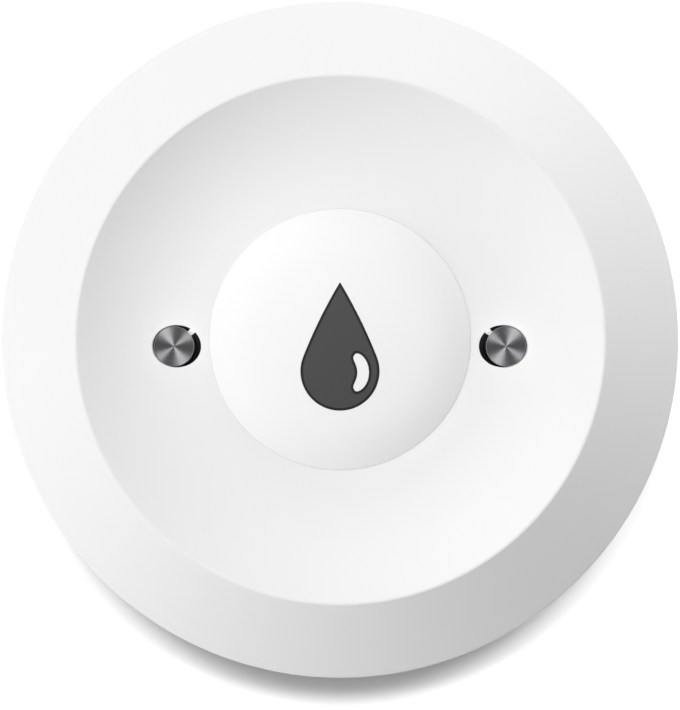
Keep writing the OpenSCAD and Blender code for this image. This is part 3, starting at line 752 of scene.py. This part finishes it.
@dataclass
class TopCover:
    """The cover: drip dish, ridge, sloping rim and upright edge.

    Attributes:
        sizes: Sizes shared with the lower case.
        rim_w: Width of the rim, from its edge in to the ridge.
        rim_slope: Slope of the rim, in degrees.
        rim_edge_r: Radius of the rim's outer edge.
        ridge_edge_r: Radius of the ridge's crest.
        dish_depth: Depth of the dish below the ridge.
        dish_flat: Width of the dish's level floor.
        bore_edge: Rounding of the bore's upper edge.
        collar_t: Wall of the collar round the bore.
        collar_depth: Depth of the collar.
        seat_r: Radius of a probe's oval seat along X.
        seat_depth: Depth of a probe's seat.
        seat_edge: Rounding of a seat's upper edge.
    """

    sizes: CaseSizes
    rim_w: float = 7.75
    rim_slope: float = 40.0
    rim_edge_r: float = 1.0
    ridge_edge_r: float = 0.3
    dish_depth: float = 3.0
    dish_flat: float = 1.6
    bore_edge: float = 0.015
    collar_t: float = 0.9
    collar_depth: float = 3.0
    seat_r: float = 2.08
    seat_depth: float = 0.95
    seat_edge: float = 0.03

    def profile(self) -> list[Point]:
        """Works out the cover's closed profile.

        Returns:
            Points as radius and height, from the bore outwards and back inside.
        """
        s, wall = self.sizes, self.sizes.wall
        ridge_r, ridge_z = s.body_r - self.rim_w, s.dish_z + self.dish_depth
        flat_r = s.bore_r + self.dish_flat
        run = ridge_r - flat_r
        dish_radius = (run ** 2 + self.dish_depth ** 2) / (2 * self.dish_depth)
        dish_centre = (flat_r, s.dish_z + dish_radius)
        slope = math.degrees(math.asin(run / dish_radius))
        half = math.radians(slope + self.rim_slope) / 2
        crest_cut = self.ridge_edge_r * math.tan(half)
        tilt, fall = math.radians(slope), math.radians(self.rim_slope)
        foot = (ridge_r - crest_cut * math.cos(tilt), ridge_z - crest_cut * math.sin(tilt))
        crest = (foot[0] + self.ridge_edge_r * math.sin(tilt),
                 foot[1] - self.ridge_edge_r * math.cos(tilt))
        rim_z = ridge_z - self.rim_w * math.tan(fall)
        edge = (s.body_r - self.rim_edge_r, rim_z - self.rim_edge_r * math.tan((math.pi / 2 - fall) / 2))
        inner_r = s.body_r - wall
        under_z = ridge_z - (inner_r - ridge_r) * math.tan(fall) - wall / math.cos(fall)
        lean = math.radians(90 + (slope - self.rim_slope) / 2)
        inset = wall / math.cos(half)
        inside = (ridge_r - inset * math.cos(lean), ridge_z - inset * math.sin(lean))
        dish_end = slope - math.degrees(math.atan2(crest_cut, dish_radius))
        inner_end = slope - math.degrees(math.atan2(wall * math.tan(half), dish_radius + wall))
        collar_r, collar_z = s.bore_r + self.collar_t, s.dish_z - self.collar_depth
        return [
            (s.bore_r, collar_z),
            *arc((s.bore_r + self.bore_edge, s.dish_z - self.bore_edge), self.bore_edge, 180, 90, 4),
            *arc(dish_centre, dish_radius, -90, -90 + dish_end, 40),
            *arc(crest, self.ridge_edge_r, 90 + slope, 90 - self.rim_slope, 12),
            *arc(edge, self.rim_edge_r, 90 - self.rim_slope, 0, 12),
            (s.body_r, s.part_z + s.parting_chamfer),
            (s.body_r - s.parting_chamfer, s.part_z),
            (inner_r, s.part_z),
            (inner_r, under_z),
            inside,
            *arc(dish_centre, dish_radius + wall, -90 + inner_end, -90, 16),
            (collar_r, s.dish_z - wall),
            (collar_r, collar_z),
        ]

    def seat(self, side: Side, probe: "Probe") -> Solid:
        """Makes the space of a probe's seat, flared at the dish floor and with a rib that keys the seal.

        Args:
            side: Side that the probe stands on.
            probe: The probe that sits there.

        Returns:
            The space to be cut away.
        """
        top = self.sizes.dish_z
        flare = arc((self.seat_r + self.seat_edge, top - self.seat_edge), self.seat_edge, 180, 90, 4)
        mouth_r = self.seat_r + self.seat_edge
        profile = [(0, top - self.seat_depth), (self.seat_r, top - self.seat_depth), *flare,
                   (mouth_r, top + self.dish_depth), (0, top + self.dish_depth)]
        space = Solid.turned(profile, steps=SMALL_TURN).squeezed(probe.squeeze)
        rib = probe.key(side, start=probe.head_r + probe.key_gap).moved(z=top)
        return space.shaped(rib).moved(*middle(f"drip_probe_{side.value}"))

    def build(self, probe: "Probe") -> bpy.types.Object:
        """Models the cover with its two probe seats and places it.

        Args:
            probe: The probe that sits in each of its seats.

        Returns:
            The cover's object.
        """
        cover = Solid.turned(self.profile(), closed=True)
        for side in Side:
            cover.shaped(self.seat(side, probe))
        return cover.placed("cover_shell", Body.CASE, ("top_cover",), COVER)


@dataclass
class DropSymbol:
    """The drop in the button and the glint that is left out of it.

    Attributes:
        width: Width of the drop.
        height: Height of the drop.
        centre_y: Place of its middle along Y.
        shoulder: Angle at which its round runs into its sides, in degrees.
        glint_w: Width of the glint.
        glint_radius: Radius of the arc that the glint follows.
        glint_arc: Half of the angle that the glint spans, in degrees.
        glint_x: Place of that arc's centre along X.
        glint_y: Height of that arc's centre above the round's centre.
        fullness: Bluntness of the glint's ends.
    """

    width: float = 6.7
    height: float = 10.9
    centre_y: float = -0.6
    shoulder: float = 21.5
    glint_w: float = 0.98
    glint_radius: float = 1.81
    glint_arc: float = 54.0
    glint_x: float = 0.15
    glint_y: float = -0.1
    fullness: float = 0.7

    def outline(self, grow: float) -> list[Point]:
        """Works out the drop's outline, moved outwards by a distance.

        Args:
            grow: Distance outwards.

        Returns:
            Points in plan.
        """
        radius = self.width / 2
        reach = self.height - radius
        y = self.centre_y - self.height / 2 + radius
        lift = math.sin(math.radians(self.shoulder))
        lead = (reach ** 2 - radius ** 2) / (2 * (radius - reach * lift))
        side = (lead * math.cos(math.radians(self.shoulder)), lead * lift)
        side_radius = radius + lead + grow
        tip = math.degrees(math.acos(side[0] / side_radius))
        return [
            *arc((0, y), radius + grow, 180 - self.shoulder, 360 + self.shoulder, 72, first=1),
            *arc((-side[0], y - side[1]), side_radius, self.shoulder, tip, 20, first=1),
            *arc((side[0], y - side[1]), side_radius, 180 - tip, 180 - self.shoulder, 20, first=1),
        ]

    def glint(self, grow: float) -> list[Point]:
        """Works out the glint's outline, moved outwards by a distance.

        Args:
            grow: Distance outwards.

        Returns:
            Points in plan.
        """
        steps = 64
        y = self.centre_y - self.height / 2 + self.width / 2 + self.glint_y
        half_arc = self.glint_arc + math.degrees(grow / self.glint_radius)
        points = []
        for i in range(steps):
            across, along = math.sin(math.tau * i / steps), math.cos(math.tau * i / steps)
            bend = math.radians(half_arc * math.copysign(abs(along) ** self.fullness, along))
            blunt = math.copysign(abs(across) ** self.fullness, across)
            reach = self.glint_radius + (self.glint_w / 2 + grow) * blunt
            points.append((self.glint_x + reach * math.cos(bend), y + reach * math.sin(bend)))
        return points

    def prism(self, grow: float, bottom: float, top: float) -> Solid:
        """Raises the drop, without its glint, to a prism."""
        return Solid.prism(self.outline(grow), bottom, top).shaped(
            Solid.prism(self.glint(-grow), bottom - 1, top + 1))


@dataclass
class PushButton:
    """The domed button with the drop let into its crown.

    Attributes:
        sizes: Sizes of the case.
        symbol: The drop.
        radius: Radius of the button.
        step: Height of its edge above the dish floor.
        crown_r: Radius of its flatter crown in plan.
        crown_radius: Radius of curvature of the crown.
        shoulder_radius: Radius of curvature of the shoulder.
        skirt_t: Thickness of its skirt.
        hook_z: Height of the skirt's lower end.
        hook_top: Height of the snap hooks' upper faces.
        hook_reach: Radius that the snap hooks reach.
        hook_arc: Width of a snap hook, in degrees.
        roof: Thickness at the middle.
        boss_r: Radius of the boss that presses the switch.
        inlay_depth: Depth of the drop below the top.
        gap: Gap over the switch and under the drop.
        side_gap: Gap round the drop.
        outline: Width of the dark band round the drop, painted shade that stands for the shade in its
            seam.
    """

    sizes: CaseSizes
    symbol: DropSymbol
    radius: float = 11.22
    step: float = 0.08
    crown_r: float = 7.2
    crown_radius: float = 45.0
    shoulder_radius: float = 9.69
    skirt_t: float = 1.2
    hook_z: float = 9.2
    hook_top: float = 9.9
    hook_reach: float = 12.15
    hook_arc: float = 24.0
    roof: float = 1.6
    boss_r: float = 2.0
    inlay_depth: float = 0.9
    gap: float = 0.03
    side_gap: float = 0.01
    outline: float = 0.21

    def dome(self) -> list[Point]:
        """Works out the dome from its middle to its edge.

        Returns:
            Points as radius and height.
        """
        crown_slope = math.asin(self.crown_r / self.crown_radius)
        bend = (self.radius - self.crown_r) / self.shoulder_radius
        end_slope = math.asin(math.sin(crown_slope) + bend)
        edge_z = self.sizes.dish_z + self.step
        rise = self.shoulder_radius * (math.cos(crown_slope) - math.cos(end_slope))
        top = edge_z + rise + self.crown_radius * (1 - math.cos(crown_slope))
        crown = (0.0, top - self.crown_radius)
        lead = self.crown_radius - self.shoulder_radius
        shoulder = (lead * math.sin(crown_slope), crown[1] + lead * math.cos(crown_slope))
        first, last = 90 - math.degrees(crown_slope), 90 - math.degrees(end_slope)
        return [
            *arc(crown, self.crown_radius, 90, first, 28),
            *arc(shoulder, self.shoulder_radius, first, last, 32, first=1),
        ]

    def body(self) -> Solid:
        """Models the button with its boss, without the hooks and the drop."""
        dome = self.dome()
        top, edge_z = dome[0][1], dome[-1][1]
        inner_r, ceiling = self.radius - self.skirt_t, top - self.roof
        plunger_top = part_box("switch_plunger")[1].z / MM
        return Solid.turned([
            *dome,
            (self.radius, self.hook_z),
            (inner_r, self.hook_z),
            (inner_r, edge_z - self.roof / 2),
            (self.crown_r, ceiling),
            (self.boss_r, ceiling),
            (self.boss_r, plunger_top + self.gap),
            (0, plunger_top + self.gap),
        ])

    def hook(self, angle: float) -> Solid:
        """Models one snap hook in a direction, in degrees."""
        root_r, low = self.radius - self.skirt_t / 2, self.hook_z + self.gap
        corners = [
            (root_r, low),
            (self.radius, low),
            (self.hook_reach, (self.hook_z + self.hook_top) / 2),
            (self.hook_reach, self.hook_top),
            (root_r, self.hook_top),
        ]
        return Solid.sector(corners, angle, self.hook_arc)

    def core(self) -> Solid:
        """Makes the full space under the dome."""
        return Solid.turned([*self.dome(), (self.radius, self.hook_z), (0, self.hook_z)])

    def build(self) -> None:
        """Models the button, its drop and the dark band of painted seam shade round the drop, and places
        them.
        """
        top = self.dome()[0][1]
        pocket_z, above = top - self.inlay_depth, top + 1
        button = self.body().shaped(self.symbol.prism(0.0, pocket_z, above))
        for angle in (90, 210, 330):
            button.joined(self.hook(angle))
        button.placed("button_dome", Body.BUTTON, ("button_cap",), BUTTON)
        # The band round the drop and its glint is painted shade: a darker material in place of the shade
        # of the seam.
        inset = -self.side_gap - self.outline
        fill = self.symbol.prism(inset, pocket_z + self.gap, above)
        edge = self.symbol.prism(-self.side_gap, pocket_z + self.gap, above)
        edge.shaped(self.symbol.prism(inset, pocket_z - 1, above + 1))
        fill.shaped(self.core(), Cut.INSIDE).placed("button_drop", Body.BUTTON, ("drop_inlay",), SYMBOL)
        edge.shaped(self.core(), Cut.INSIDE).placed("button_drop_painted_seam_shade", Body.BUTTON, (), DROP_SEAM_SHADE)


@dataclass
class Probe:
    """A turned metal probe with its black seal, in the dish or under the case.

    Attributes:
        place: Word that its CAD nodes start with.
        face_z: Height of the surface that it stands in.
        stand: Height of its head above that surface.
        neck: Length of its neck below that surface.
        head_r: Radius of its head.
        neck_r: Radius of its neck.
        sink: Depth of its head in the seal.
        chamfer: Chamfer round its face.
        seal_r: Outer radius of the seal.
        seal_floor: Thickness of the seal under the head.
        lip: Rise of the seal's sloping lip towards the probe.
        gap: Gap between the probe and its seal.
        squeeze: Share of the seal's width along X that it keeps along Y.
        key_w: Width of the rib that keys the seal, 0 for none.
        key_h: Height of that rib.
        key_gap: Gap between the probe's head and that rib.
    """

    place: str
    face_z: float
    stand: float
    neck: float
    head_r: float = 1.7
    neck_r: float = 1.2
    sink: float = 0.45
    chamfer: float = 0.06
    seal_r: float = 2.05
    seal_floor: float = 0.45
    lip: float = 0.11
    gap: float = 0.03
    squeeze: float = 1.0
    key_w: float = 0.0
    key_h: float = 0.4
    key_gap: float = 0.01

    def pin(self) -> Solid:
        """Models the probe upright, with its surface at zero."""
        return Solid.turned([
            (0, self.stand),
            (self.head_r - self.chamfer, self.stand),
            (self.head_r, self.stand - self.chamfer),
            (self.head_r, -self.sink),
            (self.neck_r, -self.sink),
            (self.neck_r, -self.neck),
            (0, -self.neck),
        ], steps=SMALL_TURN).marked(1, upright=0.5)

    def key(self, side: Side, start: float, grow: float = 0.0, top: float = 0.0) -> Solid:
        """Makes the bar of the rib that keys the seal, half towards the button and half along Y.

        Args:
            side: Side that the probe stands on.
            start: Distance of its inner end from the probe's axis.
            grow: Distance that its sides and its foot are moved outwards.
            top: Height of its top above the surface.

        Returns:
            The bar, with the surface at zero.
        """
        length = 2 * self.seal_r - start
        bar = Solid.bar(length, self.key_w + 2 * grow, top + self.key_h + grow)
        bar.moved(x=start + length / 2, z=-self.key_h - grow)
        return bar.turned_by(45 if side is Side.LEFT else 135)

    def seal(self, side: Side) -> Solid:
        """Models the seal upright, with its surface at zero."""
        inner_r, hole_r = self.head_r + self.gap, self.neck_r + self.gap
        bottom, shelf = -self.sink - self.seal_floor, -self.sink - self.gap
        ring = Solid.turned([
            (0, bottom),
            (self.seal_r, bottom),
            (self.seal_r, 0),
            (inner_r, self.lip),
            (0, self.lip),
        ], steps=SMALL_TURN).squeezed(self.squeeze)
        ring.shaped(Solid.turned([
            (0, bottom - 1),
            (hole_r, bottom - 1),
            (hole_r, shelf),
            (inner_r, shelf),
            (inner_r, self.lip + 1),
            (0, self.lip + 1),
        ], steps=SMALL_TURN))
        if self.key_w:
            ring.shaped(self.key(side, start=self.neck_r, grow=self.gap, top=self.lip + 1))
        return ring

    def build(self, side: Side, head_down: bool) -> list[bpy.types.Object]:
        """Models and places the probe and its seal on one side.

        Args:
            side: Side that the probe stands on.
            head_down: Whether it hangs under the case.

        Returns:
            The probe's and the seal's objects.
        """
        placed = []
        x, y = middle(f"{self.place}_probe_{side.value}")
        pieces = (
            (self.pin(), "pin", "", (STEEL, POLISHED_STEEL)),
            (self.seal(side), "seal", "seal_", (BLACK_SEAL,)),
        )
        for solid, word, part, finishes in pieces:
            if head_down:
                solid.flipped()
            solid.moved(x, y, self.face_z)
            placed.append(solid.placed(f"{self.place}_{word}_{side.value}", Body.CASE,
                                       (f"{self.place}_probe_{part}{side.value}",), *finishes))
        return placed


@dataclass
class LowerCase:
    """The lower case with its curved edge and the pockets in its flat base.

    Attributes:
        sizes: Sizes shared with the cover.
        lower_band: Height of its upright edge below the parting line.
        lip_gap: Gap between its lip and the cover.
        lip_t: Thickness of its lip.
        lip_chamfer: Chamfer that leads the lip in.
        lip_top: Height of its lip.
        recess_r: Radius of the door's recess.
        recess_top: Height of the recess's roof.
        recess_edge: Rounding of the recess's lower edge.
        ledge_r: Radius of the hole that the door's plug goes through.
        ledge_top: Height of the ledge that holds the door's lugs.
        lug_room_r: Radius of the room for the lugs.
        ring_r: Outer radius of the ring round that room.
        ring_top: Height of that ring.
        foot_pocket_r: Radius of a foot's pocket.
        foot_pocket: Depth of a foot's pocket.
        screw_pocket_r: Radius of a screw's counterbore.
        seat_r: Radius of a probe's seat.
        seat_depth: Depth of a probe's seat.
        pocket_edge: Rounding of the pockets' lower edges.
    """

    sizes: CaseSizes
    lower_band: float = 0.2
    lip_gap: float = 0.15
    lip_t: float = 1.6
    lip_chamfer: float = 0.3
    lip_top: float = 8.577
    recess_r: float = 13.2
    recess_top: float = 2.7
    recess_edge: float = 0.15
    ledge_r: float = 11.9
    ledge_top: float = 3.9
    lug_room_r: float = 12.9
    ring_r: float = 14.6
    ring_top: float = 4.9
    foot_pocket_r: float = 3.6
    foot_pocket: float = 0.65
    screw_pocket_r: float = 2.2
    seat_r: float = 2.08
    seat_depth: float = 0.95
    pocket_edge: float = 0.12

    def profile(self) -> list[Point]:
        """Works out the lower case's closed profile.

        Returns:
            Points as radius and height, from the door's recess outwards and back inside.
        """
        s = self.sizes
        bend = s.part_z - s.base_z - self.lower_band
        base_r = s.body_r - bend
        centre = (base_r, s.base_z + bend)
        lip_r = s.body_r - s.wall - self.lip_gap
        lip_inner_r = lip_r - self.lip_t
        inner_bend = bend - s.wall
        start = -math.degrees(math.acos((lip_inner_r - base_r) / inner_bend))
        recess = (self.recess_r + self.recess_edge, s.base_z + self.recess_edge)
        return [
            *arc(recess, self.recess_edge, 180, 270, 4),
            *arc(centre, bend, -90, 0, 28),
            (s.body_r, s.part_z - s.parting_chamfer),
            (s.body_r - s.parting_chamfer, s.part_z),
            (lip_r, s.part_z),
            (lip_r, self.lip_top - self.lip_chamfer),
            (lip_r - self.lip_chamfer, self.lip_top),
            (lip_inner_r, self.lip_top),
            *arc(centre, inner_bend, start, -90, 12),
            (self.ring_r, s.base_z + s.wall),
            (self.ring_r, self.ring_top),
            (self.lug_room_r, self.ring_top),
            (self.lug_room_r, self.ledge_top),
            (self.ledge_r, self.ledge_top),
            (self.ledge_r, self.recess_top),
            (self.recess_r, self.recess_top),
        ]

    def pocket(self, node: str, radius: float, depth: float) -> Solid:
        """Makes the space of a round pocket in the base, flared at its mouth.

        Args:
            node: CAD node that sits in the pocket.
            radius: Radius of the pocket.
            depth: Depth of the pocket.

        Returns:
            The space to be cut away.
        """
        z, edge = self.sizes.base_z, self.pocket_edge
        profile = [
            (0, z + depth),
            (radius, z + depth),
            *arc((radius + edge, z + edge), edge, 180, 270, 4),
            (radius + edge, z - 1),
            (0, z - 1),
        ]
        return Solid.turned(profile, steps=SMALL_TURN).moved(*middle(node))

    def build(self) -> bpy.types.Object:
        """Models the lower case with its pockets and places it."""
        case = Solid.turned(self.profile(), closed=True)
        screw_pocket = self.sizes.wall - self.pocket_edge
        for i in (1, 2, 3):
            case.shaped(self.pocket(f"foot_{i}", self.foot_pocket_r, self.foot_pocket))
            case.shaped(self.pocket(f"case_screw_{i}", self.screw_pocket_r, screw_pocket))
        for side in Side:
            case.shaped(self.pocket(f"floor_probe_{side.value}", self.seat_r, self.seat_depth))
        return case.placed("case_bottom", Body.CASE, ("lower_case",), CASE)


@dataclass
class BatteryDoor:
    """The twist-off door with its coin slot, plug and lugs.

    Attributes:
        base_z: Height of its outer face.
        radius: Radius of its flange.
        thickness: Thickness of its flange.
        edge: Rounding of its outer edge.
        plug_r: Radius of its plug.
        plug_top: Height of its plug.
        cup_r: Radius of the cup for the coin cell.
        lug_reach: Reach of its lugs.
        lug_t: Thickness of its lugs.
        lug_arc: Width of a lug, in degrees.
        lug_root: Distance of a lug's root from the cup.
        lug_gap: Distance of a lug's top from the plug's.
        slot_l: Length of the coin slot.
        slot_w: Width of the coin slot.
        slot_depth: Depth of the coin slot.
    """

    base_z: float = 1.0
    radius: float = 13.0
    thickness: float = 1.6
    edge: float = 0.3
    plug_r: float = 11.7
    plug_top: float = 4.7
    cup_r: float = 10.3
    lug_reach: float = 1.0
    lug_t: float = 0.7
    lug_arc: float = 24.0
    lug_root: float = 0.1
    lug_gap: float = 0.01
    slot_l: float = 15.0
    slot_w: float = 2.2
    slot_depth: float = 0.9

    def slot(self) -> Solid:
        """Makes the space of the coin slot."""
        reach, radius = (self.slot_l - self.slot_w) / 2, self.slot_w / 2
        outline = [*arc((reach, 0), radius, -90, 90, 16), *arc((-reach, 0), radius, 90, 270, 16)]
        return Solid.prism(outline, self.base_z - 1, self.base_z + self.slot_depth)

    def build(self) -> bpy.types.Object:
        """Models the door and places it."""
        z, top = self.base_z, self.base_z + self.thickness
        door = Solid.turned([
            (0, z),
            *arc((self.radius - self.edge, z + self.edge), self.edge, -90, 0, 6),
            (self.radius, top),
            (self.plug_r, top),
            (self.plug_r, self.plug_top),
            (self.cup_r, self.plug_top),
            (self.cup_r, top),
            (0, top),
        ])
        door.shaped(self.slot())
        root_r, tip_r = self.cup_r + self.lug_root, self.plug_r + self.lug_reach
        low, high = self.plug_top - self.lug_t, self.plug_top - self.lug_gap
        lug = [(root_r, low), (tip_r, low), (tip_r, high), (root_r, high)]
        for angle in (30, 150, 270):
            door.joined(Solid.sector(lug, angle, self.lug_arc))
        return door.placed("door_cap", Body.DOOR, ("battery_door",), CASE)


@dataclass
class Foot:
    """A soft round foot in its pocket.

    Attributes:
        radius: Radius of the foot.
        height: Height of the foot.
        edge: Rounding of its lower edge.
    """

    radius: float = 3.5
    height: float = 1.6
    edge: float = 0.4

    def build(self, index: int) -> bpy.types.Object:
        """Models and places one foot."""
        foot = Solid.turned([
            (0, 0),
            *arc((self.radius - self.edge, self.edge), self.edge, -90, 0, 8),
            (self.radius, self.height),
            (0, self.height),
        ], steps=SMALL_TURN).moved(*middle(f"foot_{index}"))
        return foot.placed(f"pad_{index}", Body.CASE, (f"foot_{index}",), PADS)


@dataclass
class CaseScrew:
    """A pan head screw with a cross recess, head down.

    Attributes:
        seat_z: Height of the face under its head.
        head_r: Radius of its head.
        head_t: Thickness of its head.
        edge: Rounding of its head.
        thread_r: Radius of its thread.
        length: Length below its head.
        cross_l: Length of the cross.
        cross_w: Width of the cross.
        cross_depth: Depth of the cross.
        cross_taper: Share of the cross's size at its mouth that its bottom keeps.
    """

    seat_z: float = 3.0
    head_r: float = 2.0
    head_t: float = 1.4
    edge: float = 0.6
    thread_r: float = 1.1
    length: float = 8.0
    cross_l: float = 2.5
    cross_w: float = 0.55
    cross_depth: float = 0.8
    cross_taper: float = 0.7

    def build(self, index: int) -> bpy.types.Object:
        """Models and places one screw."""
        face = self.seat_z - self.head_t
        screw = Solid.turned([
            (0, face),
            *arc((self.head_r - self.edge, face + self.edge), self.edge, -90, 0, 8),
            (self.head_r, self.seat_z),
            (self.thread_r, self.seat_z),
            (self.thread_r, self.seat_z + self.length),
            (0, self.seat_z + self.length),
        ], steps=SMALL_TURN)
        for angle in (20, 110):
            arm = Solid.bar(self.cross_l, self.cross_w, self.cross_depth + 1, taper=self.cross_taper)
            screw.shaped(arm.turned_by(angle).moved(z=face - 1))
        screw.moved(*middle(f"case_screw_{index}"))
        return screw.placed(f"screw_{index}", Body.CASE, (f"case_screw_{index}",), SCREWS)


class InnerWorks:
    """The sealed inner pieces, whose CAD meshes stay and are dressed."""

    def dress(self) -> None:
        """Lays a finish on every CAD node that no piece stands for."""
        for finish, words in INNER_FINISHES.items():
            for name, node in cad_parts.items():
                if any(word in name for word in words):
                    node.material_slots[0].material = finish.material(node)
                    LOG.info("%s: dressed in %s", name, finish.slot)


class Lit(Enum):
    """What a lamp lights."""

    CASE = "case"
    PROBES = "probes"
    FLOOR = "floor"


class Link(Enum):
    """How a lamp treats a group of objects."""

    LEFT_OUT = "EXCLUDE"
    ALONE = "INCLUDE"


def light_group(name: str, members: list[bpy.types.Object], link: Link) -> bpy.types.Collection:
    """Collects objects that a lamp leaves out or meets alone.

    Args:
        name: Name of the collection.
        members: The objects.
        link: Whether the lamp leaves them out or meets only them.

    Returns:
        The collection.
    """
    group = bpy.data.collections.new(name)
    for member in members:
        group.objects.link(member)
    for item in group.collection_objects:
        item.light_linking.link_state = link.value
    return group


@dataclass(frozen=True)
class SoftBox:
    """A square soft lamp that looks at the middle of the object.

    Attributes:
        name: Name of the lamp.
        azimuth: Direction that it stands in, in degrees from +X towards +Y.
        elevation: Height above the horizon, in degrees.
        watts: Power.
        lit: What it lights. The probes cast no shadow in a lamp for the case.
        fill: Whether it only fills in, so that reflections don't show it.
        width: Side of the lamp, in metres.
        distance: Distance from the object, in metres.
    """

    name: str
    azimuth: float
    elevation: float
    watts: float
    lit: Lit = Lit.CASE
    fill: bool = False
    width: float = 0.22
    distance: float = 0.45

    def hang(self, floor: bpy.types.Object, probes: list[bpy.types.Object]) -> bpy.types.Object:
        """Hangs the lamp.

        Args:
            floor: The floor.
            probes: The probes and their seals.

        Returns:
            The lamp's object.
        """
        a, e = math.radians(self.azimuth), math.radians(self.elevation)
        towards = Vector((math.cos(a) * math.cos(e), math.sin(a) * math.cos(e), math.sin(e)))
        data = bpy.data.lights.new(self.name, "AREA")
        data.shape, data.size, data.energy = "SQUARE", self.width, self.watts
        lamp = bpy.data.objects.new(self.name, data)
        bpy.context.scene.collection.objects.link(lamp)
        lamp.location = towards * self.distance
        lamp.rotation_euler = towards.to_track_quat("Z", "Y").to_euler()
        members, link = {
            Lit.CASE: ([floor, *probes], Link.LEFT_OUT),
            Lit.PROBES: (probes, Link.ALONE),
            Lit.FLOOR: ([floor], Link.ALONE),
        }[self.lit]
        lamp.light_linking.receiver_collection = light_group(f"{self.name}_receivers", members, link)
        lamp.visible_glossy = not self.fill
        if self.lit is Lit.CASE:
            blockers = light_group(f"{self.name}_blockers", probes, Link.LEFT_OUT)
            lamp.light_linking.blocker_collection = blockers
        return lamp


@dataclass
class Studio:
    """Floor, lamps, surroundings and camera.

    Attributes:
        camera_z: Height of the camera above the floor, in metres.
        lens: Focal length, in millimetres.
        shift: Share of the frame by which the picture is moved up.
        sensor: Width of the camera's sensor, in millimetres.
        clip: Nearest and farthest distance that the camera sees, in metres.
        floor_r: Radius of the floor, in metres, up to which the lamps keep it white.
        floor_steps: Number of the floor's corners.
        paper: Tone of the floor as it is seen.
        bounce: Tone of the floor as it lights the object.
        ambient: Strength of the light that comes from all round.
        ceiling: Strength of the surroundings overhead as they are seen.
        fade: Sines of the elevations between which the backdrop fades into the ceiling.
        lamps: Lamps of the studio.
    """

    camera_z: float = 0.1386
    lens: float = 74.04
    shift: float = -0.0221
    sensor: float = 36.0
    clip: Point = (0.005, 50.0)
    floor_r: float = 0.13
    floor_steps: int = 128
    paper: float = 0.92
    bounce: float = 0.58
    ambient: float = 0.02
    ceiling: float = 0.12
    fade: Point = (0.12, 0.5)
    lamps: tuple[SoftBox, ...] = (
        SoftBox("key_back", 110, 55, 0.68, width=0.32),
        SoftBox("side_left", 202, 30, 1.52, fill=True, width=0.4),
        SoftBox("back_low", 60, 12, 1.15, fill=True, width=0.4),
        SoftBox("top_right", 0, 75, 0.84, fill=True, width=0.3),
        SoftBox("probe_left", 135, 60, 0.52, Lit.PROBES, width=0.12),
        SoftBox("probe_right", 45, 60, 0.52, Lit.PROBES, width=0.12),
        SoftBox("floor_left", 115, 65, 1.45, Lit.FLOOR, width=0.11),
        SoftBox("floor_right", 65, 65, 1.45, Lit.FLOOR, width=0.11),
        SoftBox("floor_top", 90, 84, 0.7, Lit.FLOOR, width=0.2),
    )

    def floor(self) -> bpy.types.Object:
        """Lays the pale floor, which is duller as a light than it is seen."""
        mesh = bmesh.new()
        bmesh.ops.create_circle(mesh, cap_ends=True, segments=self.floor_steps, radius=self.floor_r)
        floor = Solid(mesh).as_object("floor")
        material = bpy.data.materials.new("floor_paper")
        material.use_nodes = True
        kit = NodeKit(material.node_tree)
        kit.nodes.remove(kit.nodes["Principled BSDF"])
        papers = [kit.add("ShaderNodeBsdfDiffuse", Color=(tone, tone, tone, 1.0))
                  for tone in (self.bounce, self.paper)]
        kit.part_rays(*papers, kit.nodes["Material Output"])
        floor.data.materials.append(material)
        return floor

    def surroundings(self) -> None:
        """Sets a white backdrop with a dim ceiling for seen rays, and an even light for the rest."""
        world = bpy.data.worlds.new("studio")
        world.use_nodes = True
        kit = NodeKit(world.node_tree)
        ambient = kit.nodes["Background"]
        ambient.name = "ambient"
        ambient.inputs["Color"].default_value = (1.0, 1.0, 1.0, 1.0)
        ambient.inputs["Strength"].default_value = self.ambient
        way = kit.add("ShaderNodeSeparateXYZ", Vector=kit.add("ShaderNodeTexCoord").outputs["Generated"])
        low, high = self.fade
        fade = kit.add("ShaderNodeMapRange", {"interpolation_type": "SMOOTHSTEP"}, Value=way.outputs["Z"],
                       From_Min=low, From_Max=high, To_Min=1.0, To_Max=self.ceiling)
        seen = kit.add("ShaderNodeBackground", {"name": "seen"}, Color=fade.outputs["Result"])
        kit.part_rays(ambient, seen, kit.nodes["World Output"])
        bpy.context.scene.world = world

    def camera(self) -> bpy.types.Object:
        """Sets the camera straight above the object."""
        data = bpy.data.cameras.new("camera")
        data.lens, data.sensor_width, data.shift_y = self.lens, self.sensor, self.shift
        data.clip_start, data.clip_end = self.clip
        camera = bpy.data.objects.new("camera", data)
        camera.location = (0, 0, self.camera_z)
        bpy.context.scene.collection.objects.link(camera)
        bpy.context.scene.camera = camera
        return camera

    def light(self, probes: list[bpy.types.Object]) -> None:
        """Lays the floor and sets the surroundings and the lamps."""
        self.surroundings()
        floor = self.floor()
        for lamp in self.lamps:
            lamp.hang(floor, probes)
        bpy.context.scene.view_settings.view_transform = "Standard"


def main() -> None:
    """Builds the studio and every piece in order."""
    logging.basicConfig(level=logging.INFO, format="%(name)s: %(message)s")
    studio = Studio()
    studio.camera()
    sizes = CaseSizes.from_frame()
    drip = Probe("drip", sizes.dish_z, stand=2.2, neck=3.9, squeeze=0.88, key_w=0.5)
    TopCover(sizes).build(drip)
    PushButton(sizes, DropSymbol()).build()
    LowerCase(sizes).build()
    BatteryDoor(base_z=sizes.base_z).build()
    floor = Probe("floor", sizes.base_z, stand=0.6, neck=5.1)
    probes = []
    for side in Side:
        probes += drip.build(side, head_down=False)
        floor.build(side, head_down=True)
    for index in (1, 2, 3):
        Foot().build(index)
        CaseScrew().build(index)
    InnerWorks().dress()
    studio.light(probes)


if __name__ == "__main__":
    main()
